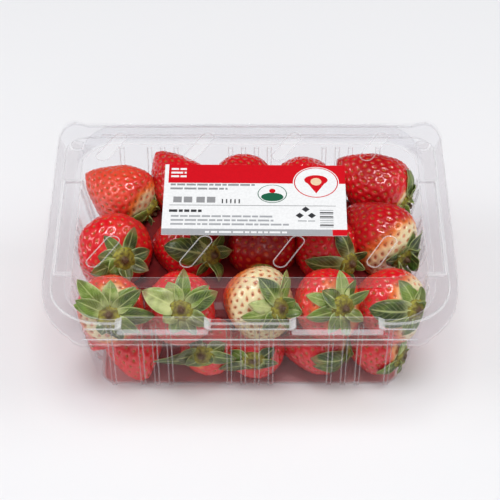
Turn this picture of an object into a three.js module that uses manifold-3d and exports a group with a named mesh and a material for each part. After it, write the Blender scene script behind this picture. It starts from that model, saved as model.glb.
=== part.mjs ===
// A shut clear punnet of strawberries: a ribbed tray, a hinged domed lid with vents,
// a label on the lid, and the berries heaped inside in two layers.
// Millimetres, +Z up. The origin is the centre of the tray's underside, the front is -Y.
import * as THREE from "three";
import { mergeVertices } from "three/addons/utils/BufferGeometryUtils.js";
import Module from "manifold-3d";

const wasm = await Module();
wasm.setup();

// Plastic sheet and the gap between the two halves
const WALL = 0.7;
const GAP = 0.3;
const PARTING_Z = 55.5;
const CORNER_STEPS = 4;

// Tray
const FLOOR = { halfX: 74.5, halfY: 54.6, radius: 10 };
const OPENING = { halfX: 84.5, halfY: 62, radius: 17 };
const BOTTOM_EDGE = 4.5;
const RIB_WIDTH = 2.7;
const RIB_PROUD = 1.2;
const LONG_SIDE_RIBS = [3.3, 9.9, 37.9, 44.7, 51.4, 65.5];
const SHORT_SIDE_RIBS = [3.3, 9.9, 30, 36.7];

// Flange that both halves share, with a straight tab in front and an ear at each back corner
const FLANGE_X = 98;
const FLANGE_FRONT = 76;
const FLANGE_BACK = 76.5;
const EAR_BACK = 78.8;
const EAR_X = 91;
const LIP_DROP = 1.7;

// Lid
const DOME_FOOT = { halfX: 87.3, halfY: 62.1, radius: 22 };
const DOME_SHOULDER = { halfX: 84.6, halfY: 56.5, radius: 20.5 };
const DOME_TOP = { halfX: 82, halfY: 53.2, radius: 18.5 };
const SHOULDER_Z = 72.4;
const TOP_Z = 76;
const LAND = { halfX: 94, front: 64.5, back: 65.4, frontRadius: 25, backRadius: 11 };
const LAND_RISE = 0.9;
const VENT_LENGTH = 22;
const VENT_WIDTH = 6;
const VENT_LEAN = 30;
const VENT_COLUMNS = [-68, -25, 18, 61];
const VENT_ROW = 36.4;
const LUG = { inner: 18, outer: 62, back: 61, front: 70.7, rise: 3, endLean: 1, frontLean: 0.85 };
const SIDE_LUG = { inner: 86, outer: 93.4, halfY: 33.5, rise: 3, lean: 0.5 };
const CORNER_LUG = { x: 88, y: 58.5, radius: 4.5, rise: 2.6 };

// Label
const LABEL_X = 87;
const LABEL_Y = 48.6;
const LABEL_THICK = 0.3;
const LABEL_CENTRE = { x: 2.2, y: -1.9 };
const LABEL_TURN = -0.6;

// Berries: the steps round and along one berry, its calyx, and the core that joins them
const BERRY_SIDES = 8;
const BERRY_RINGS = [0.08, 0.32, 0.64, 0.9];
const WIDEST = 0.42;
const LEAVES = 5;
const LEAF_THICK = 0.9;
const CORE = { halfX: 62, halfY: 36, low: 8, high: 44, radius: 12 };
const SHOWS_PAST = 8;
const WALL_CLEARANCE = 0.5;

// Where each berry lies: [x, y, z of its middle, heading and rise of its tip in degrees,
// width, length]. A heading of 0 points to +X and 90 to the back.
const TOP_LAYER = [
  [-64, 31, 48, 152, 10, 33, 39],
  [-36, 37, 49, 126, 20, 31, 39],
  [-2, 38, 47, 100, -10, 33, 38],
  [27, 38, 47, 60, -10, 31, 39],
  [64, 40, 48, 168, 8, 31, 41],
  [-66, -7, 47, 128, -8, 35, 38],
  [-31, -5, 46, 165, -14, 34, 40],
  [6, -2, 46, 90, 5, 35, 42],
  [36, -5, 46, 135, -8, 33, 40],
  [65, 2, 49, 205, -18, 36, 40],
  [-66, -41, 41, 92, -38, 34, 38],
  [-33, -40, 42, 88, -36, 34, 38],
  [3, -38, 43, 150, -20, 34, 38],
  [36, -38, 42, 125, -30, 34, 38],
  [66, -38, 42, 160, -14, 35, 39],
];
const LOW_LAYER = [
  [-64, -39, 25, 235, -8, 29, 33],
  [-49, -40, 18, 300, -34, 30, 36],
  [-22, -40, 17, 75, -20, 30, 35],
  [2, -41, 17, 85, -12, 30, 35],
  [31, -40, 17, 185, 5, 30, 39],
  [61, -39, 17, 165, 8, 30, 36],
  [-58, -12, 18, 140, 0, 31, 36],
  [-59, 14, 17, 215, 6, 30, 35],
  [58, -12, 18, 30, 5, 31, 36],
  [59, 15, 17, 320, 0, 30, 35],
  [-57, 39, 18, 250, -10, 30, 36],
  [-27, 40, 17, 100, 0, 30, 35],
  [2, 39, 18, 10, -6, 31, 37],
  [31, 40, 17, 300, 8, 30, 35],
  [60, 39, 18, 80, -12, 30, 36],
];

const radians = THREE.MathUtils.degToRad;

// A closed outline at height z, anticlockwise, of a rectangle with round corners.
function roundedRing({ halfX, halfY, radius }, z, inset = 0) {
  const r = Math.max(radius - inset, 0.5);
  const ring = [];
  for (let corner = 0; corner < 4; corner++) {
    const sx = corner === 0 || corner === 3 ? 1 : -1;
    const sy = corner < 2 ? 1 : -1;
    for (let step = 0; step <= CORNER_STEPS; step++) {
      const angle = (Math.PI / 2) * (corner + step / CORNER_STEPS);
      const x = sx * (halfX - inset - r) + r * Math.cos(angle);
      const y = sy * (halfY - inset - r) + r * Math.sin(angle);
      ring.push(new THREE.Vector3(x, y, z));
    }
  }
  return ring;
}

// Points of a flat three.js shape at height z, anticlockwise, with repeats dropped.
function shapeRing(shape, z, steps = CORNER_STEPS) {
  const points = shape.getPoints(steps);
  const ring = points.filter((p, i) => p.distanceTo(points[(i + 1) % points.length]) > 0.01);
  if (THREE.ShapeUtils.isClockWise(ring)) ring.reverse();
  return ring.map((p) => new THREE.Vector3(p.x, p.y, z));
}

// The closed skin through rings of equal point count, from the lowest up, with flat ends.
function loft(rings) {
  const count = rings[0].length;
  const points = rings.flat();
  const centre = (ring) => ring.reduce((sum, p) => sum.add(p), new THREE.Vector3()).divideScalar(count);
  const bottom = points.push(centre(rings[0])) - 1;
  const top = points.push(centre(rings.at(-1))) - 1;
  const last = (rings.length - 1) * count;
  const index = [];
  for (let i = 0; i < count; i++) {
    const j = (i + 1) % count;
    for (let k = 0; k < last; k += count) {
      index.push(k + i, k + j, k + count + j, k + i, k + count + j, k + count + i);
    }
    index.push(bottom, j, i, top, last + i, last + j);
  }
  return new THREE.BufferGeometry().setFromPoints(points).setIndex(index);
}

// A geometry as a solid that can be joined and cut.
function solid(geometry) {
  const bare = geometry.clone();
  bare.deleteAttribute("normal");
  bare.deleteAttribute("uv");
  const merged = mergeVertices(bare, 1e-4);
  const vertProperties = new Float32Array(merged.attributes.position.array);
  const triVerts = new Uint32Array(merged.index.array);
  return new wasm.Manifold(new wasm.Mesh({ numProp: 3, vertProperties, triVerts }));
}

// The largest body of a solid with its sealed hollows filled, as a geometry.
function geometryOf(body) {
  const whole = body.decompose().reduce((a, b) => (b.volume() > a.volume() ? b : a));
  const { vertProperties, triVerts } = whole.getMesh();
  const geometry = new THREE.BufferGeometry();
  geometry.setAttribute("position", new THREE.BufferAttribute(vertProperties, 3));
  geometry.setIndex(new THREE.BufferAttribute(triVerts, 1));
  geometry.computeVertexNormals();
  return geometry;
}

const union = (solids) => solids.reduce((all, next) => all.add(next));

// The tray's size at a height, from the floor's and the opening's.
function traySize(z) {
  const share = z / PARTING_Z;
  const size = {};
  for (const key of ["halfX", "halfY", "radius"]) {
    size[key] = THREE.MathUtils.lerp(FLOOR[key], OPENING[key], share);
  }
  return size;
}

// The tray's bowl, or its hollow where the inset is more than 0.
function trayBowl(inset, floorZ, topZ) {
  const edge = BOTTOM_EDGE;
  const round = [0, 0.3, 1].map((share) => ({ z: edge * share, in: edge * (1 - share) ** 2 }));
  const rings = round.map((step) =>
    roundedRing(traySize(step.z), floorZ + step.z, inset + step.in),
  );
  return solid(loft([...rings, roundedRing(traySize(topZ), topZ, inset)]));
}

// One upright rib outside a wall: long walls face Y and short walls face X.
function rib(along, side, longWall, narrower, proud, topZ) {
  const half = RIB_WIDTH / 2 - narrower;
  const ring = (z) => {
    const { halfX, halfY } = traySize(z);
    const outer = (longWall ? halfY : halfX) + proud;
    const inner = outer - proud - 2 * WALL - 1;
    const corners = [
      [-half, inner],
      [half, inner],
      [half, outer],
      [-half, outer],
    ];
    const points = corners.map(([a, d]) =>
      longWall
        ? new THREE.Vector3(along + a, side * d, z)
        : new THREE.Vector3(side * d, along + a, z),
    );
    return longWall === side > 0 ? points : points.reverse();
  };
  return solid(loft([ring(BOTTOM_EDGE + narrower), ring(topZ)]));
}

function ribs(narrower, proud, topZ) {
  const made = [];
  for (const side of [-1, 1]) {
    for (const end of [-1, 1]) {
      for (const x of LONG_SIDE_RIBS) made.push(rib(end * x, side, true, narrower, proud, topZ));
      for (const y of SHORT_SIDE_RIBS) made.push(rib(end * y, side, false, narrower, proud, topZ));
    }
  }
  return union(made);
}

// The outline of the flange, drawn as one half and mirrored.
function flangeShape(inset = 0) {
  const right = [
    [0, -FLANGE_FRONT],
    [77, -FLANGE_FRONT],
    [80.8, -73.9],
    [83.3, -70.7],
    [86.3, -68.3],
    [91.3, -62],
    [95.2, -54],
    [97.3, -45],
    [FLANGE_X, -36],
    [FLANGE_X, 68],
    [96.4, 74.2],
    [94.2, 77.3],
    [EAR_X, EAR_BACK],
    [87.5, 78],
    [84, FLANGE_BACK],
    [0, FLANGE_BACK],
  ];
  const left = right.slice(1, -1).map(([x, y]) => [-x, y]).reverse();
  const scaleX = 1 - inset / FLANGE_X;
  const scaleY = 1 - inset / FLANGE_FRONT;
  return new THREE.Shape([...right, ...left].map(([x, y]) => new THREE.Vector2(x * scaleX, y * scaleY)));
}

function plate(shape, low, high) {
  return solid(loft([shapeRing(shape, low), shapeRing(shape, high)]));
}

// A box boss [x0, x1, y0, y1] at the parting plane, whose sides lean in by [x0, x1, y0, y1]
// for each millimetre of height.
function boss(foot, lean, low, high) {
  const ring = (z) => {
    const [x0, x1, y0, y1] = foot.map((edge, i) => edge + lean[i] * (z - PARTING_Z));
    return [
      new THREE.Vector3(x0, y0, z),
      new THREE.Vector3(x1, y0, z),
      new THREE.Vector3(x1, y1, z),
      new THREE.Vector3(x0, y1, z),
    ];
  };
  return solid(loft([ring(low), ring(high)]));
}

// The snap lugs on the flange, smaller by the inset, so that one set nests in the next.
function lugs(inset, low, rise) {
  const shrink = ([x0, x1, y0, y1]) => [x0 + inset, x1 - inset, y0 + inset, y1 - inset];
  const made = [];
  for (const side of [-1, 1]) {
    const along = (a, b) => (side > 0 ? [a, b] : [-b, -a]);
    const { endLean, frontLean } = LUG;
    const front = shrink([...along(LUG.inner, LUG.outer), -LUG.front, -LUG.back]);
    made.push(boss(front, [endLean, -endLean, frontLean, 0], low, PARTING_Z + rise(LUG.rise)));
    const { inner, outer, halfY, lean } = SIDE_LUG;
    const flank = shrink([...along(inner, outer), -halfY, halfY]);
    const flankLean = [...along(0, -lean), lean, -lean];
    made.push(boss(flank, flankLean, low, PARTING_Z + rise(SIDE_LUG.rise)));
    const height = PARTING_Z + rise(CORNER_LUG.rise) - low;
    const radius = CORNER_LUG.radius - inset;
    const round = new THREE.CylinderGeometry(radius * 0.8, radius, height, 10);
    round.rotateX(Math.PI / 2);
    round.translate(side * CORNER_LUG.x, CORNER_LUG.y, low + height / 2);
    made.push(solid(round));
  }
  return union(made);
}

function makeTray() {
  const flangeTop = PARTING_Z - GAP / 2;
  const flangeLow = flangeTop - WALL;
  const outer = trayBowl(0, 0, flangeTop).add(ribs(0, RIB_PROUD, flangeLow + WALL / 2));
  const hollow = trayBowl(WALL, WALL, PARTING_Z + 2).add(ribs(WALL, RIB_PROUD - WALL, PARTING_Z + 2));
  const lip = plate(flangeShape(), flangeTop - LIP_DROP, flangeLow + WALL / 2);
  const lipHollow = plate(flangeShape(WALL), flangeTop - LIP_DROP - 1, flangeLow);
  const lugInset = WALL + GAP + 0.2;
  const lugRise = (rise) => rise - WALL - GAP - 0.2;
  const lugsOuter = lugs(lugInset, flangeLow + WALL / 2, lugRise);
  const lugsInner = lugs(lugInset + WALL, flangeLow - 1, (rise) => lugRise(rise) - WALL);
  return plate(flangeShape(), flangeLow, flangeTop)
    .add(lip.subtract(lipHollow))
    .add(lugsOuter)
    .subtract(lugsInner)
    .add(outer)
    .subtract(hollow);
}

function dome(inset, lowZ) {
  return solid(
    loft([
      roundedRing(DOME_FOOT, lowZ, inset),
      roundedRing(DOME_FOOT, PARTING_Z + 0.5, inset),
      roundedRing(DOME_SHOULDER, SHOULDER_Z - inset * 0.4, inset),
      roundedRing(DOME_TOP, TOP_Z - inset, inset * 0.5),
    ]),
  );
}

// The raised land that runs round the dome on the lid's flange.
function landShape(inset = 0) {
  const { halfX, front, back, frontRadius, backRadius } = LAND;
  const x = halfX - inset;
  const y0 = -front + inset;
  const y1 = back - inset;
  const corners = [
    [x - frontRadius, y0 + frontRadius, frontRadius, -90],
    [x - backRadius, y1 - backRadius, backRadius, 0],
    [-x + backRadius, y1 - backRadius, backRadius, 90],
    [-x + frontRadius, y0 + frontRadius, frontRadius, 180],
  ];
  const shape = new THREE.Shape();
  for (const [cx, cy, r, from] of corners) {
    shape.absarc(cx, cy, r, radians(from), radians(from + 90));
  }
  return shape;
}

function vent(x, y) {
  const r = VENT_WIDTH / 2;
  const half = VENT_LENGTH / 2 - r;
  const outline = new THREE.Shape();
  outline.absarc(0, half, r, 0, Math.PI);
  outline.absarc(0, -half, r, Math.PI, 2 * Math.PI);
  const cut = new THREE.ExtrudeGeometry(outline, { depth: 6, bevelEnabled: false, curveSegments: 4 });
  cut.rotateZ(-radians(VENT_LEAN));
  cut.translate(x, y, TOP_Z - 3);
  return solid(cut);
}

function makeLid() {
  const flangeLow = PARTING_Z + GAP / 2;
  const flangeTop = flangeLow + WALL;
  const landTop = flangeTop + LAND_RISE;
  const under = PARTING_Z - 2;
  const vents = [];
  for (const x of VENT_COLUMNS) {
    for (const y of [-VENT_ROW, VENT_ROW]) vents.push(vent(x, y));
  }
  return plate(flangeShape(), flangeLow, flangeTop)
    .add(plate(landShape(), flangeLow, landTop))
    .add(lugs(0, flangeLow, (rise) => rise))
    .add(dome(0, flangeLow))
    .subtract(plate(landShape(WALL), under, landTop - WALL))
    .subtract(lugs(WALL, under, (rise) => rise - WALL))
    .subtract(dome(WALL, under))
    .subtract(union(vents));
}

function makeLabel() {
  const label = new THREE.BoxGeometry(LABEL_X, LABEL_Y, LABEL_THICK);
  label.rotateZ(radians(LABEL_TURN));
  return label;
}

// Half the width of a berry at a share of its length, from calyx to tip, for a width of 1.
function berryProfile(share) {
  return 0.5 * Math.sin(Math.PI * share ** 0.62) ** 0.75;
}

// A berry along +Z, its tip up and its middle at the origin.
function berryBody(width, length) {
  const profile = [new THREE.Vector2(0, -WIDEST * length)];
  for (const share of BERRY_RINGS) {
    profile.push(new THREE.Vector2(width * berryProfile(share), (share - WIDEST) * length));
  }
  profile.push(new THREE.Vector2(0, (1 - WIDEST) * length));
  const lathe = new THREE.LatheGeometry(profile, BERRY_SIDES);
  return lathe.rotateX(Math.PI / 2);
}

// A thin wavy star of leaves over the berry's shoulder, both faces split alike.
function calyx(width, length, seed) {
  const rings = [0.5, 1];
  const outline = [];
  for (let leaf = 0; leaf < LEAVES; leaf++) {
    const reach = 0.5 * width * (0.9 + 0.16 * Math.sin(seed * 5 + leaf * 2.4));
    outline.push({ turn: leaf, reach: 0.45 * reach });
    outline.push({ turn: leaf + 0.5, reach });
  }
  const base = -WIDEST * length - 0.2;
  const face = (offset) =>
    rings.map((share) =>
      outline.map(({ turn, reach }) => {
        const angle = (2 * Math.PI * turn) / LEAVES + seed;
        const r = share * reach;
        const bend = (r / (0.5 * width)) ** 2;
        const lift = 0.17 * length * bend + 0.8 * Math.sin(3 * angle + seed) * bend;
        return new THREE.Vector3(r * Math.cos(angle), r * Math.sin(angle), base + lift + offset);
      }),
    );
  const under = face(-LEAF_THICK / 2);
  const over = face(LEAF_THICK / 2);
  return loft([...under, ...over.reverse()]);
}

// Turns a piece built along +Z so that +Z points to a heading and rise, and puts it in place.
function lay(geometry, [x, y, z, heading, rise]) {
  const tilt = new THREE.Euler(0, radians(90 - rise), radians(heading), "ZYX");
  const place = new THREE.Matrix4().makeRotationFromEuler(tilt).setPosition(x, y, z);
  return solid(geometry.applyMatrix4(place));
}

// Whether a berry's calyx end shows, beyond the core's sides or above its top.
function calyxShows([x, y, z, heading, rise, , length]) {
  const back = WIDEST * length;
  const flat = back * Math.cos(radians(rise));
  const endX = Math.abs(x - flat * Math.cos(radians(heading)));
  const endY = Math.abs(y - flat * Math.sin(radians(heading)));
  const endZ = z - back * Math.sin(radians(rise));
  return endX > CORE.halfX + SHOWS_PAST || endY > CORE.halfY + SHOWS_PAST || endZ > CORE.high;
}

function makeBerries() {
  const pieces = [solid(loft([roundedRing(CORE, CORE.low), roundedRing(CORE, CORE.high)]))];
  [...TOP_LAYER, ...LOW_LAYER].forEach((berry, i) => {
    const [width, length] = berry.slice(5);
    pieces.push(lay(berryBody(width, length), berry));
    if (calyxShows(berry)) pieces.push(lay(calyx(width, length, i), berry));
  });
  const space = trayBowl(WALL + WALL_CLEARANCE, WALL + WALL_CLEARANCE, TOP_Z);
  return union(pieces).intersect(space);
}

const clearPlastic = new THREE.MeshStandardMaterial({
  color: 0xe8eaee,
  roughness: 0.08,
  metalness: 0,
  transparent: true,
  opacity: 0.35,
});
const labelPaper = new THREE.MeshStandardMaterial({ color: 0xf0f0f0, roughness: 0.45, metalness: 0 });
const berryFlesh = new THREE.MeshStandardMaterial({ color: 0xc2142a, roughness: 0.3, metalness: 0 });

function piece(name, geometry, material) {
  const mesh = new THREE.Mesh(geometry, material);
  mesh.name = name;
  return mesh;
}

const trayBody = new THREE.Group();
trayBody.add(piece("tray", geometryOf(makeTray()), clearPlastic));
trayBody.add(piece("berries", geometryOf(makeBerries()), berryFlesh));

const lidBody = new THREE.Group();
lidBody.add(piece("lid", geometryOf(makeLid()), clearPlastic));
const label = piece("label", makeLabel(), labelPaper);
label.position.set(LABEL_CENTRE.x, LABEL_CENTRE.y, TOP_Z + GAP + LABEL_THICK / 2);
lidBody.add(label);

const punnet = new THREE.Group();
punnet.add(trayBody, lidBody);

export default punnet;
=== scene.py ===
# %% [markdown]
# # A punnet of strawberries
#
# A shut punnet is a thin clear tray with a hinged clear lid, a paper label on the lid, and two
# layers of strawberries inside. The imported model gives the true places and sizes. It is loaded
# first, and every new piece is modelled in the same frame: millimetres while a shape is being
# made, and metres once it is an object.

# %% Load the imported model
import math
import random

import bmesh
import bpy
from bmesh.types import BMEdge, BMFace, BMVert
from mathutils import Matrix, Vector, noise


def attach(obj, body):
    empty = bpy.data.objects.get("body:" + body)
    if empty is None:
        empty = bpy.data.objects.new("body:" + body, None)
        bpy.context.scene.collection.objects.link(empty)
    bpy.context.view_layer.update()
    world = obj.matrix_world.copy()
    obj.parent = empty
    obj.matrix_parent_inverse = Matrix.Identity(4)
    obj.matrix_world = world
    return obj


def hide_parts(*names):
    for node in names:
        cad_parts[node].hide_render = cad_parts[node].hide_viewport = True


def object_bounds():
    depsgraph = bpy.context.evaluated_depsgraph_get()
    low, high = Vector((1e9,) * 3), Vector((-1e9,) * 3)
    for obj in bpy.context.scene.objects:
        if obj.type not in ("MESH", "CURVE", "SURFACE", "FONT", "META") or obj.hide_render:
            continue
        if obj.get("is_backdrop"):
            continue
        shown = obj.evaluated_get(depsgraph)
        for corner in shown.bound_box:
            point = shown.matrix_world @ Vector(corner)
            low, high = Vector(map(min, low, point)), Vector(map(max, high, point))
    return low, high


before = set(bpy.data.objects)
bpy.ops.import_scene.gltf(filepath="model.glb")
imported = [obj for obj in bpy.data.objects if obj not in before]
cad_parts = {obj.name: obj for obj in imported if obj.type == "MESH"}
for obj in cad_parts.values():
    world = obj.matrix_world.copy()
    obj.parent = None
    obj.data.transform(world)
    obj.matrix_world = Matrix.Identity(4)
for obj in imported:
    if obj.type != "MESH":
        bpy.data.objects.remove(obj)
packed_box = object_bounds()
MM = 0.001
print("Packed box in metres:", [[round(c, 4) for c in corner] for corner in packed_box])

# %% [markdown]
# ## The camera
#
# The pack is seen from the front and from 45 degrees above. A long lens far away keeps the
# pack's back almost as wide as its front, as in a catalogue picture.

# %% Camera
LOOK_AT = Vector((0, 0, 40.3)) * MM
CAMERA_DISTANCE = 0.850
CAMERA_PITCH = math.radians(45)

camera_data = bpy.data.cameras.new("catalogue_camera")
camera_data.lens = 124.5
camera_data.sensor_width = 36
camera = bpy.data.objects.new("catalogue_camera", camera_data)
camera.rotation_euler = (math.radians(90) - CAMERA_PITCH, 0, 0)
back_off = Vector((0, -math.cos(CAMERA_PITCH), math.sin(CAMERA_PITCH)))
camera.location = LOOK_AT + CAMERA_DISTANCE * back_off
bpy.context.scene.collection.objects.link(camera)
bpy.context.scene.camera = camera
print("Camera at", [round(c, 3) for c in camera.location])

# %% [markdown]
# ## Floor and light
#
# A clear pack shows only by what it mirrors, so the room round it is darker than the floor it
# stands on. Soft square panels light it from above and from both sides, with a weak one in
# front, and the floor is a plain pale sheet that runs far past the picture's edge.

# %% Floor
FLOOR_HALF = 3.0
FLOOR_COLOUR = (0.835, 0.835, 0.85, 1)

floor_bm = bmesh.new()
bmesh.ops.create_grid(floor_bm, x_segments=8, y_segments=8, size=FLOOR_HALF)
floor_mesh = bpy.data.meshes.new("pale_floor")
floor_bm.to_mesh(floor_mesh)
floor_bm.free()
floor = bpy.data.objects.new("pale_floor", floor_mesh)
bpy.context.scene.collection.objects.link(floor)
floor_paint = bpy.data.materials.new("pale_floor")
floor_paint.use_nodes = True
floor_shader = floor_paint.node_tree.nodes["Principled BSDF"]
floor_shader.inputs["Base Color"].default_value = FLOOR_COLOUR
floor_shader.inputs["Roughness"].default_value = 0.7
floor_shader.inputs["Specular IOR Level"].default_value = 0.2
floor_mesh.materials.append(floor_paint)
floor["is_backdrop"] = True

# %% Soft panels
PANELS = [
    # name, place, size, watts
    ("front_panel", (0.1, -1.3, 0.75), 0.4, 1.3),
    ("left_panel", (-1.1, -0.15, 0.8), 0.5, 4.6),
    ("right_panel", (1.05, 0.0, 0.9), 0.5, 3.9),
    ("top_panel", (0.0, -0.15, 1.5), 0.5, 11.7),
]


def add_panel(name, place, size, watts):
    """A square area light that faces the pack."""
    data = bpy.data.lights.new(name, "AREA")
    data.energy = watts
    data.size = size
    panel = bpy.data.objects.new(name, data)
    panel.location = place
    panel.rotation_euler = (LOOK_AT - Vector(place)).to_track_quat("-Z", "Y").to_euler()
    bpy.context.scene.collection.objects.link(panel)


for panel in PANELS:
    add_panel(*panel)
print(len(PANELS), "soft panels")

# %% [markdown]
# The room's own light fills the shadows. Clear plastic and wet fruit would mirror that room as a
# grey veil, so the Light Path node makes it dim for mirrored rays, and it is darkest high up
# behind the pack, where the lid's mirror image lies. Where the camera looks past the floor, it
# still sees a pale backdrop. A ray can cross a dozen thin skins, so many see-through steps are
# allowed before it is given up.

# %% Room light
BACKDROP_STRENGTH = 0.9
ROOM_STRENGTH = 0.43
MIRRORED_STRENGTH = 0.13

room = bpy.data.worlds.new("studio_room")
room.use_nodes = True
room_tree = room.node_tree
room_light = room_tree.nodes["Background"]
room_path = room_tree.nodes.new("ShaderNodeLightPath")
mirrored_level = room_tree.nodes.new("ShaderNodeMapRange")
mirrored_level.inputs["To Min"].default_value = ROOM_STRENGTH
mirrored_level.inputs["To Max"].default_value = MIRRORED_STRENGTH
room_level = room_tree.nodes.new("ShaderNodeMapRange")
room_level.inputs["To Max"].default_value = BACKDROP_STRENGTH
room_tree.links.new(room_path.outputs["Is Glossy Ray"], mirrored_level.inputs["Value"])
room_tree.links.new(mirrored_level.outputs["Result"], room_level.inputs["To Min"])
room_tree.links.new(room_path.outputs["Is Camera Ray"], room_level.inputs["Value"])
room_tree.links.new(room_level.outputs["Result"], room_light.inputs["Strength"])
print("Room strength:", ROOM_STRENGTH, "and", MIRRORED_STRENGTH, "where it is mirrored")

# %% Dark cloth in the room
ROOM_COLOUR = (0.97, 0.98, 1.0, 1)
CLOTH_COLOUR = (0.05, 0.05, 0.052, 1)
CLOTH_DIRECTION = (0, 0.707, 0.707)
CLOTH_EDGE = (0.72, 0.92)
SKINS_IN_A_ROW = 40
# A Mix node has sockets for every kind of value, so the ones for colours go by their numbers.
MIX_SHARE, MIX_FIRST, MIX_SECOND, MIX_RESULT = 0, 6, 7, 2

room_place = room_tree.nodes.new("ShaderNodeTexCoord")
toward_cloth = room_tree.nodes.new("ShaderNodeVectorMath")
toward_cloth.operation = "DOT_PRODUCT"
toward_cloth.inputs[1].default_value = CLOTH_DIRECTION
room_tree.links.new(room_place.outputs["Generated"], toward_cloth.inputs[0])
cloth_edge = room_tree.nodes.new("ShaderNodeMapRange")
cloth_edge.interpolation_type = "SMOOTHSTEP"
cloth_edge.inputs["From Min"].default_value = CLOTH_EDGE[0]
cloth_edge.inputs["From Max"].default_value = CLOTH_EDGE[1]
room_tree.links.new(toward_cloth.outputs["Value"], cloth_edge.inputs["Value"])
room_mix = room_tree.nodes.new("ShaderNodeMix")
room_mix.data_type = "RGBA"
room_mix.inputs[MIX_FIRST].default_value = ROOM_COLOUR
room_mix.inputs[MIX_SECOND].default_value = CLOTH_COLOUR
room_tree.links.new(cloth_edge.outputs["Result"], room_mix.inputs[MIX_SHARE])
room_tree.links.new(room_mix.outputs[MIX_RESULT], room_light.inputs["Color"])
room.cycles.sampling_method = "NONE"
bpy.context.scene.world = room
bpy.context.scene.view_settings.view_transform = "Standard"
bpy.context.scene.cycles.transparent_max_bounces = SKINS_IN_A_ROW

# %% [markdown]
# ## Helpers for every piece
#
# A finished piece is an object at the origin whose place is in its mesh. The first helpers
# scale a shape from millimetres, give it its materials, and tie it to the half of the pack
# that it moves with. The others make the few kinds of shader node that every finish uses.

# %% Piece helpers
def make_object(name, bm, materials, smooth=True):
    """Turn a shape in millimetres into an object in metres, at the origin."""
    bmesh.ops.scale(bm, vec=(MM, MM, MM), verts=bm.verts)
    mesh = bpy.data.meshes.new(name)
    bm.to_mesh(mesh)
    bm.free()
    for material in materials:
        mesh.materials.append(material)
    mesh.polygons.foreach_set("use_smooth", [smooth] * len(mesh.polygons))
    piece = bpy.data.objects.new(name, mesh)
    bpy.context.scene.collection.objects.link(piece)
    return piece


def hand_over(piece, body, node):
    """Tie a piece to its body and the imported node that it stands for."""
    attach(piece, body)
    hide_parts(node)
    print(piece.name, len(piece.data.polygons), "faces before modifiers")


def only(kind, geometry):
    """The vertices, the edges or the faces among an operator's results."""
    return [item for item in geometry if isinstance(item, kind)]


# %% Material helpers
def new_material(name):
    """A material with an empty node tree, and its output node."""
    material = bpy.data.materials.new(name)
    material.use_nodes = True
    material.node_tree.nodes.clear()
    output = material.node_tree.nodes.new("ShaderNodeOutputMaterial")
    return material, material.node_tree, output


def add_node(tree, kind, **values):
    """A node with its named inputs set."""
    node = tree.nodes.new(kind)
    for key, value in values.items():
        node.inputs[key.replace("_", " ")].default_value = value
    return node


def maths(tree, operation, first, second=None):
    """A Math node on sockets or numbers; gives its result."""
    node = tree.nodes.new("ShaderNodeMath")
    node.operation = operation
    for socket, value in zip(node.inputs, (first, second)):
        if isinstance(value, (int, float)):
            socket.default_value = value
        elif value is not None:
            tree.links.new(value, socket)
    return node.outputs[0]


def blend_colours(tree, share, first, second):
    """A colour mix whose ends are sockets or plain colours; gives its result."""
    node = tree.nodes.new("ShaderNodeMix")
    node.data_type = "RGBA"
    for place, value in ((MIX_SHARE, share), (MIX_FIRST, first), (MIX_SECOND, second)):
        if isinstance(value, (int, float, tuple)):
            node.inputs[place].default_value = value
        else:
            tree.links.new(value, node.inputs[place])
    return node.outputs[MIX_RESULT]


def read_attribute(tree, name):
    """A number that the mesh holds at each vertex."""
    node = tree.nodes.new("ShaderNodeAttribute")
    node.attribute_name = name
    return node.outputs["Fac"]


def map_range(tree, value, low, high, to_low=0.0, to_high=1.0):
    """Stretch a range of values onto another, held inside it."""
    node = tree.nodes.new("ShaderNodeMapRange")
    node.interpolation_type = "SMOOTHSTEP"
    tree.links.new(value, node.inputs["Value"])
    node.inputs["From Min"].default_value = low
    node.inputs["From Max"].default_value = high
    node.inputs["To Min"].default_value = to_low
    node.inputs["To Max"].default_value = to_high
    return node.outputs["Result"]


# %% [markdown]
# ## A shared mottle
#
# Nothing that grew has one even colour, and thin plastic is never quite flat. One node group
# gives a soft uneven mask from Object coordinates. The flesh, the leaves, the stems and the
# plastic each place it with their own grain size, so that no pattern has to be built twice.

# %% Mottle group
mottle = bpy.data.node_groups.new("mottle", "ShaderNodeTree")
mottle.interface.new_socket("Grain", in_out="INPUT", socket_type="NodeSocketFloat")
mottle.interface.new_socket("Detail", in_out="INPUT", socket_type="NodeSocketFloat")
mottle.interface.new_socket("Mask", in_out="OUTPUT", socket_type="NodeSocketFloat")
mottle_in = mottle.nodes.new("NodeGroupInput")
mottle_out = mottle.nodes.new("NodeGroupOutput")
mottle_place = mottle.nodes.new("ShaderNodeTexCoord")
mottle_noise = mottle.nodes.new("ShaderNodeTexNoise")
mottle.links.new(mottle_place.outputs["Object"], mottle_noise.inputs["Vector"])
mottle.links.new(mottle_in.outputs["Grain"], mottle_noise.inputs["Scale"])
mottle.links.new(mottle_in.outputs["Detail"], mottle_noise.inputs["Detail"])
mottle.links.new(map_range(mottle, mottle_noise.outputs["Fac"], 0.3, 0.7), mottle_out.inputs["Mask"])


def place_mottle(tree, grain, detail):
    """The mottle's mask at a grain size, in repeats to the metre."""
    node = tree.nodes.new("ShaderNodeGroup")
    node.node_tree = mottle
    node.inputs["Grain"].default_value = grain
    node.inputs["Detail"].default_value = detail
    return node.outputs["Mask"]


def add_bump(tree, height, strength, distance):
    """A Bump node fed with a height; gives its normal."""
    node = add_node(tree, "ShaderNodeBump", Strength=strength, Distance=distance)
    tree.links.new(height, node.inputs["Height"])
    return node.outputs["Normal"]


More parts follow.
